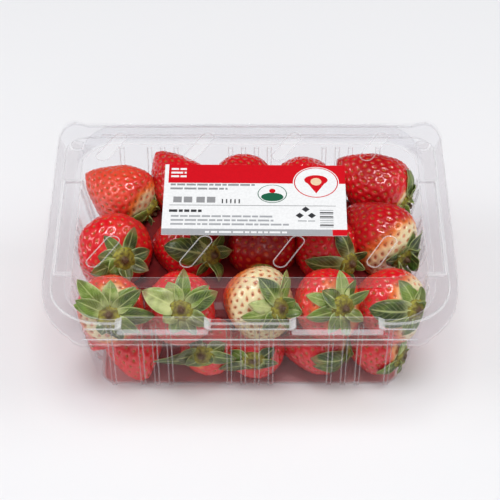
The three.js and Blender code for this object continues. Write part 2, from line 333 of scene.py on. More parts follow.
# %% [markdown]
# ## Clear plastic
#
# The sheet is about half a millimetre thick, too thin to bend the view behind it. So it isn't
# made as solid glass. Most of each surface is a transparent shader, and a mirror-like shader
# takes over as the surface turns away from the eye, which is how a clear film mirrors its
# room. Folds and rims get a milkier finish, a painted highlight for the light they gather. The
# flanges lie double and dull the view a little. The base mirrors the red of the fruit that lies
# on it, and its see-through part is tinted pink, a painted reflection of that red.

# %% Plastic finishes
SHEET_TINT = (0.985, 0.985, 0.989, 1)
BAND_TINT = (0.95, 0.945, 0.95, 1)
FRONT_TINT = (0.895, 0.88, 0.855, 1)
# A pink tint for the base: painted reflection of the red fruit above, added to its real mirror.
BASE_RED_REFLECTION_TINT = (0.985, 0.82, 0.82, 1)
SHEET_MIRROR = (0.94, 0.94, 0.95, 1)


def clear_finish(name, tint, least, most, power, metallic, roughness):
    """A see-through finish that mirrors by least face on and by most at a glancing angle."""
    material, tree, output = new_material(name)
    layer = add_node(tree, "ShaderNodeLayerWeight", Blend=0.5)
    turned = maths(tree, "POWER", layer.outputs["Facing"], power)
    share = maths(tree, "MULTIPLY_ADD", turned, most - least)
    share.node.inputs[2].default_value = least
    clear = add_node(tree, "ShaderNodeBsdfTransparent", Color=tint)
    mirror = add_node(
        tree,
        "ShaderNodeBsdfPrincipled",
        Base_Color=SHEET_MIRROR,
        Metallic=metallic,
        Roughness=roughness,
    )
    ripple = add_bump(tree, place_mottle(tree, 70.0, 1.0), 0.25, 0.0006)
    tree.links.new(ripple, mirror.inputs["Normal"])
    mix = tree.nodes.new("ShaderNodeMixShader")
    tree.links.new(share, mix.inputs["Fac"])
    tree.links.new(clear.outputs[0], mix.inputs[1])
    tree.links.new(mirror.outputs[0], mix.inputs[2])
    tree.links.new(mix.outputs[0], output.inputs["Surface"])
    return material


SHEET_FINISHES = [
    # name, tint, least, most, power, metallic, roughness
    clear_finish("clear_sheet", SHEET_TINT, 0.005, 0.1, 4.0, 1.0, 0.07),
    # The fold finish is milky white, a painted highlight along folds and rims.
    clear_finish("fold_highlight", SHEET_TINT, 0.25, 0.35, 2.0, 0.0, 0.2),
    clear_finish("sheet_band", BAND_TINT, 0.025, 0.08, 3.0, 0.0, 0.2),
    clear_finish("front_band", FRONT_TINT, 0.025, 0.08, 3.0, 0.0, 0.2),
    # The base's pink tint is a painted reflection of the fruit's red.
    clear_finish("base_red_reflection", BASE_RED_REFLECTION_TINT, 0.1, 0.25, 3.0, 1.0, 0.12),
]
CLEAR, FOLD, BAND, FRONT_BAND, BASE = range(len(SHEET_FINISHES))
print("Plastic finishes:", [finish.name for finish in SHEET_FINISHES])

# %% [markdown]
# ## Loops of sheet plastic
#
# Tray and lid are drawn from one sheet over a mould, so both are modelled as an open skin
# that gets its thickness at the end. The skin is a ladder of loops: rectangles with round
# corners, each a grid face whose corners are bevelled, joined by bridging one to the next.

# %% Loop helpers
CORNER_SEGMENTS = 8


def rounded_loop(bm, half_x, front, back, front_radius, back_radius, z):
    """The edges of a rectangle with round corners, from -front to back in Y."""
    known = set(bm.faces)
    corners = bmesh.ops.create_grid(bm, x_segments=1, y_segments=1, size=1)["verts"]
    pairs = {-1: [], 1: []}
    for corner in corners:
        side = -1 if corner.co.y < 0 else 1
        y = -front if side < 0 else back
        corner.co = (math.copysign(half_x, corner.co.x), y, z)
        pairs[side].append(corner)
    for side, radius in ((-1, front_radius), (1, back_radius)):
        bmesh.ops.bevel(
            bm,
            geom=pairs[side],
            offset=radius,
            offset_type="OFFSET",
            affect="VERTICES",
            segments=CORNER_SEGMENTS,
            profile=0.5,
            material=-1,
        )
    face = next(f for f in bm.faces if f not in known)
    edges = list(face.edges)
    bmesh.ops.delete(bm, geom=[face], context="FACES_ONLY")
    return edges


def even_loop(bm, size, z, inset=0.0):
    """A loop from a size of half width, half depth and corner radius."""
    half_x, half_y, radius = size
    depth = half_y - inset
    return rounded_loop(bm, half_x - inset, depth, depth, radius - inset, radius - inset, z)


def bridge(bm, loops):
    """Join each loop to the next."""
    for lower, upper in zip(loops, loops[1:]):
        bmesh.ops.bridge_loops(bm, edges=lower + upper)


def fill_between(bm, edges):
    """Fill the flat area inside the outer loop and outside the inner ones."""
    bmesh.ops.triangle_fill(bm, use_beauty=True, use_dissolve=False, edges=edges, normal=(0, 0, 1))


def cut(bm, axis, values, wanted):
    """Cut the faces that are wanted by planes across an axis."""
    direction = Vector((0, 0, 0))
    direction[axis] = 1
    for value in values:
        faces = [f for f in bm.faces if wanted(f)]
        edges = dict.fromkeys(e for f in faces for e in f.edges)
        verts = dict.fromkeys(v for f in faces for v in f.verts)
        bmesh.ops.bisect_plane(
            bm,
            geom=[*faces, *edges, *verts],
            dist=1e-4,
            plane_co=direction * value,
            plane_no=direction,
        )


def both_sides(values):
    """Each value and its mirror image."""
    return [side * value for value in values for side in (-1, 1)]


# %% [markdown]
# ## Flange, lugs and beads
#
# Each half ends in a flat flange. Beads stiffen it, and low lugs on it snap into each other
# when the lid is pressed shut. The flange is cut along every line where it changes height,
# and one height function then lifts the corners of the cuts. That keeps each lug and bead in
# step on both halves, and the tray's lugs only have to be a little smaller to nest.

# %% Flange sizes
PARTING_Z = 55.5
GAP = 0.3
SHEET = 0.5
PACKED_SHEET = 0.7
CLOSE = 1e-3
FLANGE_HALF = [
    (0, -76), (77, -76), (80.8, -73.9), (83.3, -70.7), (86.3, -68.3), (91.3, -62), (95.2, -54),
    (97.3, -45), (98, -36), (98, 68), (96.4, 74.2), (94.2, 77.3), (91, 78.8), (87.5, 78),
    (84, 76.5), (0, 76.5),
]
FLANGE_REACH = (98, 76)
LUG_INNER = 18
LUG_OUTER = 62
LUG_FRONT = 70.7
LUG_RISE = 3.0
LUG_END_LEAN = 1.0
LUG_FRONT_LEAN = 0.85
SIDE_LUG_OUTER = 93.4
SIDE_LUG_HALF = 33.5
SIDE_LUG_LEAN = 0.5
CORNER_LUG = (87.7, 58.2, 4.1, 2.6)
BEADS = [67.3, 73.7]
BEAD_HALF = 0.35
BEAD_RISE = 0.45
BEAD_END = 76


def flange_outline(bm, z, inset=0.0):
    """The edges of the flange's outline, drawn as one half and mirrored."""
    left = [(-x, y) for x, y in reversed(FLANGE_HALF[1:-1])]
    shrink_x = 1 - inset / FLANGE_REACH[0]
    shrink_y = 1 - inset / FLANGE_REACH[1]
    verts = [bm.verts.new((x * shrink_x, y * shrink_y, z)) for x, y in FLANGE_HALF + left]
    return [bm.edges.new((a, b)) for a, b in zip(verts, verts[1:] + verts[:1])]


def lug_height(x, y, inset):
    """Height of the snap lugs over the flange, on a sheet that nests by an inset."""
    x = abs(x)
    rise = LUG_RISE - inset
    ends = min(x - LUG_INNER, LUG_OUTER - x) - inset
    front = (y + LUG_FRONT - inset) / LUG_FRONT_LEAN if y < 0 else 0
    front_lug = min(ends / LUG_END_LEAN, front, rise)
    across = (SIDE_LUG_OUTER - inset - x) / SIDE_LUG_LEAN
    along = (SIDE_LUG_HALF - inset - abs(y)) / SIDE_LUG_LEAN
    side_lug = min(across, along, rise) if x > 80 else 0
    return max(0.0, front_lug, side_lug)


def bead_height(x, y):
    """Height of the beads that run along the front and back of the flange."""
    if abs(x) > BEAD_END:
        return 0.0
    return BEAD_RISE * any(abs(abs(y) - bead) < BEAD_HALF / 2 for bead in BEADS)


# %% Flange finishes
STEEP_RISE = 0.2
STEEP_TILT = 0.35
BEADS_UP_TO = PARTING_Z + 2.2
BAND_BACK = 60
BAND_FRONT = -55


def finish_flange(bm, top):
    """Give the flange its milky finish, and its steep sides the fold finish, a painted highlight."""
    for face in bm.faces:
        low = min(v.co.z for v in face.verts)
        high = max(v.co.z for v in face.verts)
        middle = face.calc_center_median()
        if low < PARTING_Z - 1 or high > top:
            continue
        if high - low > STEEP_RISE:
            tilted = abs(face.normal.x) > STEEP_TILT or abs(face.normal.z) < STEEP_TILT
            face.material_index = FOLD if tilted or high < BEADS_UP_TO else CLEAR
        elif middle.y < BAND_BACK:
            at_front = middle.y < BAND_FRONT and abs(middle.x) < LUG_OUTER
            face.material_index = FRONT_BAND if at_front else BAND


# %% Flange cuts
def cut_flange(bm, wanted, inset):
    """Cut the flange along the edges of its lugs."""
    rise = LUG_RISE - inset
    ends = [LUG_INNER + inset, LUG_OUTER - inset]
    ends += [LUG_INNER + inset + rise * LUG_END_LEAN, LUG_OUTER - inset - rise * LUG_END_LEAN]
    flank = [SIDE_LUG_OUTER - inset, SIDE_LUG_OUTER - inset - rise * SIDE_LUG_LEAN]
    flank_ends = [SIDE_LUG_HALF - inset, SIDE_LUG_HALF - inset - rise * SIDE_LUG_LEAN]
    front = [inset - LUG_FRONT, inset - LUG_FRONT + rise * LUG_FRONT_LEAN]
    cut(bm, 0, both_sides(ends + flank), wanted)
    cut(bm, 1, both_sides(flank_ends) + front, wanted)


def cut_beads(bm, wanted):
    """Cut the flange along both edges and the crest of each bead."""
    beads = [bead + step for bead in BEADS for step in (-BEAD_HALF, 0, BEAD_HALF)]
    cut(bm, 0, both_sides([BEAD_END, BEAD_END + BEAD_HALF]), wanted)
    cut(bm, 1, both_sides(beads), wanted)


# %% [markdown]
# ## The tray
#
# The tray is a bowl with sloping walls, a soft edge round its floor, and upright ribs that
# stop the thin walls from buckling. The ribs are pressed out of the same sheet, so they are
# not separate bars: the wall is cut on both sides of each rib, and the strip between is moved
# outwards. Near the floor and under the flange the strip runs back into the wall.

# %% Tray sizes
FLOOR_SIZE = (74.5, 54.6, 10)
OPENING_SIZE = (84.5, 62, 17)
BOTTOM_EDGE = 4.5
BOTTOM_STEPS = [0, 0.12, 0.3, 0.6, 1]
RIB_HALF = 1.35
RIB_SLOPE = 0.15
RIB_PROUD = 0.8
RIB_TOP = 52.5
RIB_RUN_OUT = 0.5
WALL_FACING = 0.6
WALL_FOOT = 0.6
LONG_SIDE_RIBS = [3.3, 9.9, 37.9, 44.7, 51.4, 65.5]
SHORT_SIDE_RIBS = [3.3, 9.9, 30, 36.7]
LIP_DROP = 1.7
BASE_EDGE_FOOT = 0.5
BASE_EDGE_TOP = 1.4
TRAY_FLANGE_Z = PARTING_Z - GAP / 2 - SHEET
LUG_NEST = GAP + SHEET + 0.4


def tray_size(z):
    """The tray's half width, half depth and corner radius at a height."""
    share = z / PARTING_Z
    return [low + (high - low) * share for low, high in zip(FLOOR_SIZE, OPENING_SIZE)]


def on_wall(face, axis):
    """Whether a face belongs to the two walls that look along an axis."""
    return abs(face.normal[axis]) > WALL_FACING and face.calc_center_median().z > WALL_FOOT


def press_ribs(bm):
    """Cut the walls beside each rib and press the strip between outwards."""
    foot = BOTTOM_EDGE * BOTTOM_STEPS[3] - 0.05
    for axis, places in ((0, LONG_SIDE_RIBS), (1, SHORT_SIDE_RIBS)):
        other = 1 - axis
        slopes = (-RIB_HALF, RIB_SLOPE - RIB_HALF, RIB_HALF - RIB_SLOPE, RIB_HALF)
        lines = [place + step for place in both_sides(places) for step in slopes]
        cut(bm, axis, lines, lambda face: on_wall(face, other))
        lifted = set()
        for vert in bm.verts:
            if not foot < vert.co.z < RIB_TOP:
                continue
            if abs(vert.co[other]) < FLOOR_SIZE[other] - BOTTOM_EDGE:
                continue
            nearest = min(abs(abs(vert.co[axis]) - place) for place in places)
            if nearest < RIB_HALF - RIB_SLOPE / 2:
                lifted.add(vert)
        for vert in lifted:
            vert.co[other] += math.copysign(RIB_PROUD, vert.co[other])
        # The rib's sides get the fold finish, a painted highlight line along each rib.
        for face in {f for v in lifted for f in v.link_faces}:
            on_top = face.calc_center_median().z > RIB_TOP - RIB_RUN_OUT and len(face.verts) < 6
            if not all(v in lifted for v in face.verts) and not on_top:
                face.material_index = FOLD


def on_tray_flange(face):
    """Whether a face lies flat on the tray's flange."""
    return all(abs(v.co.z - TRAY_FLANGE_Z) < CLOSE for v in face.verts)


# %% Tray shape
def make_tray():
    """The tray's skin: its bowl, then its flange with a lip turned down and nesting lugs."""
    bm = bmesh.new()
    loops = []
    for share in BOTTOM_STEPS:
        z = BOTTOM_EDGE * share
        loops.append(even_loop(bm, tray_size(z), z, BOTTOM_EDGE * (1 - share) ** 2))
    for z in (RIB_TOP - RIB_RUN_OUT, RIB_TOP + 2 * RIB_RUN_OUT, TRAY_FLANGE_Z):
        loops.append(even_loop(bm, tray_size(z), z))
    bmesh.ops.contextual_create(bm, geom=loops[0])
    bridge(bm, loops)
    bmesh.ops.recalc_face_normals(bm, faces=bm.faces)
    press_ribs(bm)
    # The soft edge round the floor gets the fold finish, a painted highlight line.
    for face in bm.faces:
        height = face.calc_center_median().z
        if height < BASE_EDGE_TOP:
            face.material_index = FOLD if height > BASE_EDGE_FOOT else BASE
    opening = [e for e in bm.edges if e.is_boundary]
    outline = flange_outline(bm, TRAY_FLANGE_Z, SHEET)
    fill_between(bm, opening + outline)
    lip = bmesh.ops.extrude_edge_only(bm, edges=outline)["geom"]
    bmesh.ops.translate(bm, vec=(0, 0, SHEET - LIP_DROP), verts=only(BMVert, lip))
    for face in only(BMFace, lip):
        face.material_index = BAND
    cut_flange(bm, on_tray_flange, LUG_NEST)
    for vert in bm.verts:
        if abs(vert.co.z - TRAY_FLANGE_Z) < CLOSE:
            vert.co.z += lug_height(vert.co.x, vert.co.y, LUG_NEST)
    bmesh.ops.recalc_face_normals(bm, faces=bm.faces)
    finish_flange(bm, PARTING_Z + LUG_RISE)
    if next(f for f in bm.faces if f.calc_center_median().z < 0.01).normal.z > 0:
        bmesh.ops.reverse_faces(bm, faces=bm.faces)
    return make_object("tray_skin", bm, SHEET_FINISHES)


# %% Thickness
FOLD_ANGLE = math.radians(22)


def thicken(piece, fold_width):
    """Soften a skin's folds, give it the sheet's thickness and even out its shading."""
    fold = piece.modifiers.new("folds", "BEVEL")
    fold.limit_method = "ANGLE"
    fold.angle_limit = FOLD_ANGLE
    fold.width = fold_width * MM
    fold.segments = 2
    # The bevelled folds get the fold finish, a painted highlight.
    fold.material = FOLD
    sheet = piece.modifiers.new("sheet", "SOLIDIFY")
    sheet.thickness = SHEET * MM
    sheet.offset = -1
    piece.modifiers.new("shading", "WEIGHTED_NORMAL")


tray_skin = make_tray()
thicken(tray_skin, 0.1)
hand_over(tray_skin, "base", "tray")

# %% [markdown]
# ## The lid
#
# The lid rises from its flange as a dome with a broad sloping edge. A raised land runs round
# its foot, lugs stand on its front and sides, two round studs sit in the back corners, and
# eight slanted slots let the fruit breathe. The flat areas are filled between loops, so a
# slot is just one more loop that the fill leaves open, with its rim turned down a little.

# %% Lid sizes
LID_FLANGE_Z = PARTING_Z + GAP / 2 + PACKED_SHEET
LAND_RISE = 0.9
LAND_Z = LID_FLANGE_Z + LAND_RISE
LAND = (94, 64.5, 65.4, 25, 11)
LAND_SLOPE = 0.5
DOME_FOOT = (87.3, 62.1, 22)
DOME_SHOULDER = (84.6, 56.5, 20.5)
SHOULDER_Z = 72.4
DOME_TOP = (82, 53.2, 18.5)
TOP_Z = 76.0
CHAMFER_FRONT = -50
VENT_COLUMNS = [-68, -25, 18, 61]
VENT_ROW = 36.4
VENT_LENGTH = 22
VENT_WIDTH = 6
VENT_LEAN = math.radians(30)
VENT_RIM = 0.35
VENT_SEGMENTS = 20


def slot_loop(bm, x, y, z):
    """The edges of a slanted slot with round ends."""
    half_turn = math.pi / VENT_SEGMENTS
    verts = bmesh.ops.create_circle(
        bm,
        segments=VENT_SEGMENTS,
        radius=VENT_WIDTH / 2,
        matrix=Matrix.Rotation(half_turn, 4, "Z"),
    )["verts"]
    stretch = (VENT_LENGTH - VENT_WIDTH) / 2
    for vert in verts:
        vert.co.y += math.copysign(stretch, vert.co.y)
    lean = Matrix.Translation((x, y, z)) @ Matrix.Rotation(-VENT_LEAN, 4, "Z")
    bmesh.ops.transform(bm, matrix=lean, verts=verts)
    return list(dict.fromkeys(e for v in verts for e in v.link_edges))


def stud(bm, x, y, radius, z, rise):
    """A round stud: its foot's edges are left open for the flange to meet."""
    place = Matrix.Translation((x, y, z))
    foot = bmesh.ops.create_circle(bm, segments=20, radius=radius, matrix=place)["verts"]
    foot_edges = list(dict.fromkeys(e for v in foot for e in v.link_edges))
    step = bmesh.ops.extrude_edge_only(bm, edges=foot_edges)["geom"]
    top = only(BMVert, step)
    bmesh.ops.scale(bm, vec=(0.8, 0.8, 1), space=place.inverted(), verts=top)
    bmesh.ops.translate(bm, vec=(0, 0, rise), verts=top)
    rim = [e for e in only(BMEdge, step) if all(v in top for v in e.verts)]
    bmesh.ops.contextual_create(bm, geom=rim)
    return foot_edges


def below_dome(face):
    """Whether a face lies on the flange or on the land."""
    return all(v.co.z < LAND_Z + CLOSE for v in face.verts)


def raise_lugs(bm):
    """Lift the flange's corners to the lugs and beads, and follow the dome where they meet."""
    dome_rise = SHOULDER_Z - LAND_Z
    lean_x, lean_y = [(DOME_FOOT[i] - DOME_SHOULDER[i]) / dome_rise for i in (0, 1)]
    for vert in bm.verts:
        if vert.co.z > LAND_Z + CLOSE:
            continue
        on_dome = any(f.calc_center_median().z > LAND_Z + 2 for f in vert.link_faces)
        lift = max(0, lug_height(vert.co.x, vert.co.y, 0.0) + PARTING_Z - vert.co.z)
        if on_dome and lift > 0:
            if abs(vert.co.x) < LUG_OUTER:
                vert.co.y += lean_y * lift
            else:
                vert.co.x -= math.copysign(lean_x * lift, vert.co.x)
        vert.co.z += lift or bead_height(vert.co.x, vert.co.y)


# %% Lid shape
def make_lid():
    """The lid's skin: its loops from the flange up to the dome, with studs and vents."""
    bm = bmesh.new()
    outline = flange_outline(bm, LID_FLANGE_Z)
    land_foot = rounded_loop(bm, *LAND, LID_FLANGE_Z)
    half_x, front, back, front_radius, back_radius = LAND
    inner_land = (half_x - LAND_SLOPE, front - LAND_SLOPE, back - LAND_SLOPE)
    land_top = rounded_loop(bm, *inner_land, front_radius, back_radius, LAND_Z)
    foot = even_loop(bm, DOME_FOOT, LAND_Z)
    shoulder = even_loop(bm, DOME_SHOULDER, SHOULDER_Z)
    top = even_loop(bm, DOME_TOP, TOP_Z)
    bridge(bm, [land_foot, land_top])
    bridge(bm, [foot, shoulder, top])
    for face in bm.faces:
        middle = face.calc_center_median()
        if middle.z > SHOULDER_Z and middle.y < CHAMFER_FRONT:
            face.material_index = BAND
    fill_between(bm, outline + land_foot)
    x, y, radius, rise = CORNER_LUG
    rise -= LAND_Z - PARTING_Z
    studs = [e for side in (-1, 1) for e in stud(bm, side * x, y, radius, LAND_Z, rise)]
    fill_between(bm, land_top + foot + studs)
    slots = []
    for x in VENT_COLUMNS:
        for y in (-VENT_ROW, VENT_ROW):
            slots += slot_loop(bm, x, y, TOP_Z)
    fill_between(bm, top + slots)
    rims = bmesh.ops.extrude_edge_only(bm, edges=slots)["geom"]
    bmesh.ops.translate(bm, vec=(0, 0, -VENT_RIM), verts=only(BMVert, rims))
    # The slots' rims get the fold finish, a painted highlight.
    for face in only(BMFace, rims):
        face.material_index = FOLD
    cut_flange(bm, below_dome, 0.0)
    cut_beads(bm, below_dome)
    raise_lugs(bm)
    bmesh.ops.recalc_face_normals(bm, faces=bm.faces)
    finish_flange(bm, PARTING_Z + LUG_RISE + 0.1)
    if next(f for f in bm.faces if f.calc_center_median().z > TOP_Z - 0.01).normal.z < 0:
        bmesh.ops.reverse_faces(bm, faces=bm.faces)
    return make_object("lid_skin", bm, SHEET_FINISHES)


lid_skin = make_lid()
thicken(lid_skin, 0.13)
hand_over(lid_skin, "top", "lid")

# %% [markdown]
# ## The label
#
# The label is one slab of paper with a red band at its head and a grey strip at its foot. The
# slab's top is cut along those borders, and each field gets its own ink. The small marks are
# thin plates on the slab: rows of dashes stand for small print, with plain shapes for seals.

# %% Inks and paper
def printed(name, colour):
    """A satin printed colour with a trace of paper tooth."""
    material, tree, output = new_material(name)
    shader = add_node(tree, "ShaderNodeBsdfPrincipled", Roughness=0.42)
    tooth = place_mottle(tree, 900.0, 2.0)
    darker = tuple(0.93 * c for c in colour[:3]) + (1,)
    tree.links.new(blend_colours(tree, tooth, colour, darker), shader.inputs["Base Color"])
    tree.links.new(add_bump(tree, tooth, 0.08, 0.0001), shader.inputs["Normal"])
    tree.links.new(shader.outputs[0], output.inputs["Surface"])
    return material


INKS = [
    printed("label_paper", (0.86, 0.865, 0.87, 1)),
    printed("label_red", (0.64, 0.0, 0.008, 1)),
    printed("label_grey", (0.38, 0.39, 0.41, 1)),
    printed("label_dark", (0.035, 0.035, 0.04, 1)),
    printed("label_faint", (0.3, 0.3, 0.31, 1)),
    printed("label_green", (0.01, 0.12, 0.06, 1)),
    printed("label_cream", (0.84, 0.62, 0.4, 1)),
]
PAPER, RED, GREY, DARK, FAINT, GREEN, CREAM = range(len(INKS))
print("Inks:", [ink.name for ink in INKS])

# %% Label slab
LABEL_X = 87.0
LABEL_Y = 48.6
LABEL_THICK = 0.3
LABEL_MIDDLE = (2.2, -1.9, TOP_Z + 0.03)
LABEL_TURN = math.radians(-0.6)
LABEL_PLACE = Matrix.Translation(LABEL_MIDDLE) @ Matrix.Rotation(LABEL_TURN, 4, "Z")
HEAD_LOW = 11.2
HEAD_LEFT = -41.6
FOOT_TOP = -20.3
FOOT_RED_LEFT = 36.6


def label_field(x, y):
    """The ink of the label's top at a point, from the label's centre."""
    if y > HEAD_LOW:
        return RED if x > HEAD_LEFT else PAPER
    if y < FOOT_TOP:
        return RED if x > FOOT_RED_LEFT else GREY
    return PAPER


label_bm = bmesh.new()
bmesh.ops.create_cube(label_bm, size=1)
slab_size = Matrix.Diagonal((LABEL_X, LABEL_Y, LABEL_THICK, 1))
slab = Matrix.Translation((0, 0, LABEL_THICK / 2)) @ slab_size
bmesh.ops.transform(label_bm, matrix=slab, verts=label_bm.verts)
cut(label_bm, 0, [HEAD_LEFT, FOOT_RED_LEFT], lambda face: True)
cut(label_bm, 1, [HEAD_LOW, FOOT_TOP], lambda face: True)
for face in label_bm.faces:
    middle = face.calc_center_median()
    if face.normal.z > 0.5:
        face.material_index = label_field(middle.x, middle.y)
bmesh.ops.transform(label_bm, matrix=LABEL_PLACE, verts=label_bm.verts)
label_slab = make_object("label_slab", label_bm, INKS, smooth=False)
hand_over(label_slab, "top", "label")

# %% [markdown]
# A mark is a flat plate 0.04 mm thick. Bars and dashes are a grid face, discs and tiles are a
# filled circle, and each is moved into place and given its ink. A ring is a disc on a larger
# one. The whole set is solidified at once.

# %% Label marks
MARK_THICK = 0.04
DASH_GAP = 0.7


def ink_face(verts, ink):
    """Give a new patch its ink."""
    for face in verts[0].link_faces:
        face.material_index = ink


def bar(bm, x0, x1, y0, y1, ink):
    """A rectangle of ink."""
    place = Matrix.Translation(((x0 + x1) / 2, (y0 + y1) / 2, 0))
    place = place @ Matrix.Diagonal((x1 - x0, y1 - y0, 1, 1))
    grid = bmesh.ops.create_grid(bm, x_segments=1, y_segments=1, size=0.5, matrix=place)
    ink_face(grid["verts"], ink)


def disc(bm, x, y, radius, ink, level=0, segments=40, squeeze=1.0, turn=0.0):
    """A round or many-sided patch of ink."""
    place = Matrix.Translation((x, y, level * MARK_THICK)) @ Matrix.Rotation(turn, 4, "Z")
    place = place @ Matrix.Diagonal((1, squeeze, 1, 1))
    circle = bmesh.ops.create_circle(
        bm, cap_ends=True, segments=segments, radius=radius, matrix=place
    )
    ink_face(circle["verts"], ink)


def dashes(bm, x0, x1, y, height, ink, rng):
    """A row of dashes of uneven length, where a label has small print."""
    x = x0
    while x < x1 - 1:
        length = min(rng.uniform(1.6, 6.0), x1 - x)
        bar(bm, x, x + length, y - height / 2, y + height / 2, ink)
        x += length + DASH_GAP


def seals(bm):
    """A large seal with a plain berry, and a small one with a plain leaf."""
    disc(bm, 29.4, 12.0, 11.1, PAPER, 0)
    disc(bm, 29.4, 12.0, 10.6, RED, 1)
    disc(bm, 29.4, 12.0, 10.1, PAPER, 2)
    disc(bm, 29.4, 10.6, 6.3, RED, 3, segments=3, turn=math.pi)
    disc(bm, 29.4, 13.6, 5.6, RED, 4, squeeze=0.62)
    disc(bm, 29.4, 12.4, 2.6, CREAM, 5)
    disc(bm, 8.4, 3.9, 7.0, GREEN, 0, squeeze=0.9)
    disc(bm, 8.4, 3.9, 6.6, PAPER, 1, squeeze=0.9)
    disc(bm, 8.4, 1.6, 5.3, GREEN, 2, squeeze=0.55)
    disc(bm, 8.4, 5.9, 1.5, RED, 2)


def small_shapes(bm):
    """A stack of bars, three tiles set as a triangle, and the title's blocks and strokes."""
    for row in range(9):
        ink = DARK if row in (1, 3, 7) else GREY
        height = 0.9 if ink == DARK else 0.45
        top = -7.1 - 1.4 * row
        bar(bm, 30.9, 37.2, top - height, top, ink)
    for turn in range(3):
        angle = math.radians(90 + 120 * turn)
        x, y = 24.2 + 3.3 * math.cos(angle), -9.5 + 2.8 * math.sin(angle)
        disc(bm, x, y, 1.9, DARK, segments=4)
    for block in range(4):
        left = -38.7 + 5.0 * block + (1.0 if block > 1 else 0.0)
        bar(bm, left, left + 4.0, -2.5, 1.5, FAINT)
    for stroke in range(5):
        left = -15.6 + 2.0 * stroke
        bar(bm, left, left + 0.6, -2.9, 0.0, DARK)


def small_print(bm):
    """Rows of dashes, and the fine line that parts them."""
    rng = random.Random(11)
    for row in range(3):
        dashes(bm, -40.4, -33.0, 21.0 - 2.6 * row, 1.3, PAPER, rng)
    dashes(bm, -40.4, 0, 10.0, 1.3, FAINT, rng)
    dashes(bm, -40.4, -13, 7.2, 1.3, FAINT, rng)
    bar(bm, -40.4, 38.5, -4.5, -4.1, FAINT)
    dashes(bm, -40.4, -25, -8.2, 1.7, DARK, rng)
    for row in range(3):
        dashes(bm, -39.4, 16.5 if row == 2 else 9.0, -11.8 - 2.7 * row, 1.2, GREY, rng)
    dashes(bm, -23.0, 17.0, -22.4, 1.2, PAPER, rng)
    dashes(bm, 20.5, 28.5, -14.6, 0.7, GREY, rng)


marks_bm = bmesh.new()
seals(marks_bm)
small_shapes(marks_bm)
small_print(marks_bm)
bmesh.ops.recalc_face_normals(marks_bm, faces=marks_bm.faces)
for face in marks_bm.faces:
    if face.normal.z < 0:
        face.normal_flip()
lift = LABEL_PLACE @ Matrix.Translation((0, 0, LABEL_THICK))
bmesh.ops.transform(marks_bm, matrix=lift, verts=marks_bm.verts)
label_marks = make_object("label_marks", marks_bm, INKS, smooth=False)
ink_depth = label_marks.modifiers.new("ink", "SOLIDIFY")
ink_depth.thickness = MARK_THICK * MM
ink_depth.offset = 1
hand_over(label_marks, "top", "label")

# %% [markdown]
# ## Where the berries lie
#
# Each berry has a place, a heading and rise for its tip, and a width and length. The top
# layer also says how ripe a berry is and how far the pale shoulder runs from its calyx, which
# is the ring of leaves at the stem. No two berries are alike, so the numbers were chosen one
# berry at a time.

# %% Berry places
# x, y, z, heading, rise, width, length, ripeness 0 to 1, pale shoulder as a share of length
TOP_LAYER = [
    (-64, 31, 48, 152, 12, 33, 39, 0.16, 0.20),
    (-35, 37, 49, 126, 20, 32, 39, 0.60, 0.08),
    (-4, 38, 47, 100, -10, 37, 38, 0.72, 0.06),
    (27, 38, 47, 60, -10, 33, 39, 0.48, 0.08),
    (63.5, 38.5, 48, 146, 13, 34, 42, 0.72, 0.05),
    (-67, -7, 47, 117, -26, 38, 39, 0.42, 0.05),
    (-31, -5, 46, 142, -20, 34, 40, 0.55, 0.05),
    (6, -2, 46, 90, 5, 35, 42, 0.95, 0.04),
    (36, -5, 46, 135, -8, 33, 40, 0.68, 0.05),
    (63.5, 2, 48, 131, 8, 36, 40, 0.70, 0.26),
    (-66, -41, 41, 92, -38, 34, 38, 0.22, 0.16),
    (-33, -40, 42, 94, -42, 34, 38, 0.46, 0.06),
    (3, -38, 43, 138, -24, 35, 38, 0.20, 0.53),
    (36, -38, 42, 125, -35, 34, 38, 0.42, 0.15),
    (66, -38, 42, 140, -22, 35, 39, 0.42, 0.20),
]
LOW_LAYER = [
    (-69, -40, 31, 235, -8, 26, 32, 0.40, 0.06),
    (-56, -41, 18, 285, -34, 30, 36, 0.50, 0.06),
    (-19, -40, 18, 75, -20, 30, 35, 0.42, 0.05),
    (3, -41, 17, 85, -12, 30, 35, 0.50, 0.05),
    (31, -40, 17, 168, 5, 30, 39, 0.75, 0.10),
    (60, -39, 17, 150, 8, 30, 36, 0.65, 0.10),
    (-58, -12, 18, 140, 0, 31, 36, 0.5, 0.08),
    (-59, 14, 17, 215, 6, 30, 35, 0.6, 0.08),
    (58, -12, 18, 30, 5, 31, 36, 0.5, 0.10),
    (59, 15, 17, 320, 0, 30, 35, 0.4, 0.12),
    (-57, 39, 18, 250, -10, 30, 36, 0.5, 0.10),
    (-27, 40, 17, 100, 0, 30, 35, 0.6, 0.08),
    (2, 39, 18, 10, -6, 31, 37, 0.4, 0.12),
    (31, 40, 17, 300, 8, 30, 35, 0.5, 0.10),
    (60, 39, 18, 80, -12, 30, 36, 0.6, 0.08),
]
WIDEST = 0.42
WALL_CLEARANCE = 0.5
FRUIT_INSET = PACKED_SHEET + WALL_CLEARANCE


class Berry:
    """One berry's place, its three directions and its looks."""

    def __init__(self, row, number):
        x, y, z, heading, rise, self.width, self.length, self.ripeness, self.pale = row
        heading, rise = math.radians(heading), math.radians(rise)
        level = math.cos(rise)
        self.tip = Vector((level * math.cos(heading), level * math.sin(heading), math.sin(rise)))
        self.side = Vector((-math.sin(heading), math.cos(heading), 0))
        self.up = self.tip.cross(self.side)
        self.middle = Vector((x, y, z))
        self.number = number
        self.rng = random.Random(100 + number)
        self.calyx = self.middle - WIDEST * self.length * self.tip

    def outward(self, angle):
        """The direction away from the berry's own axis at an angle round it."""
        return math.cos(angle) * self.up + math.sin(angle) * self.side


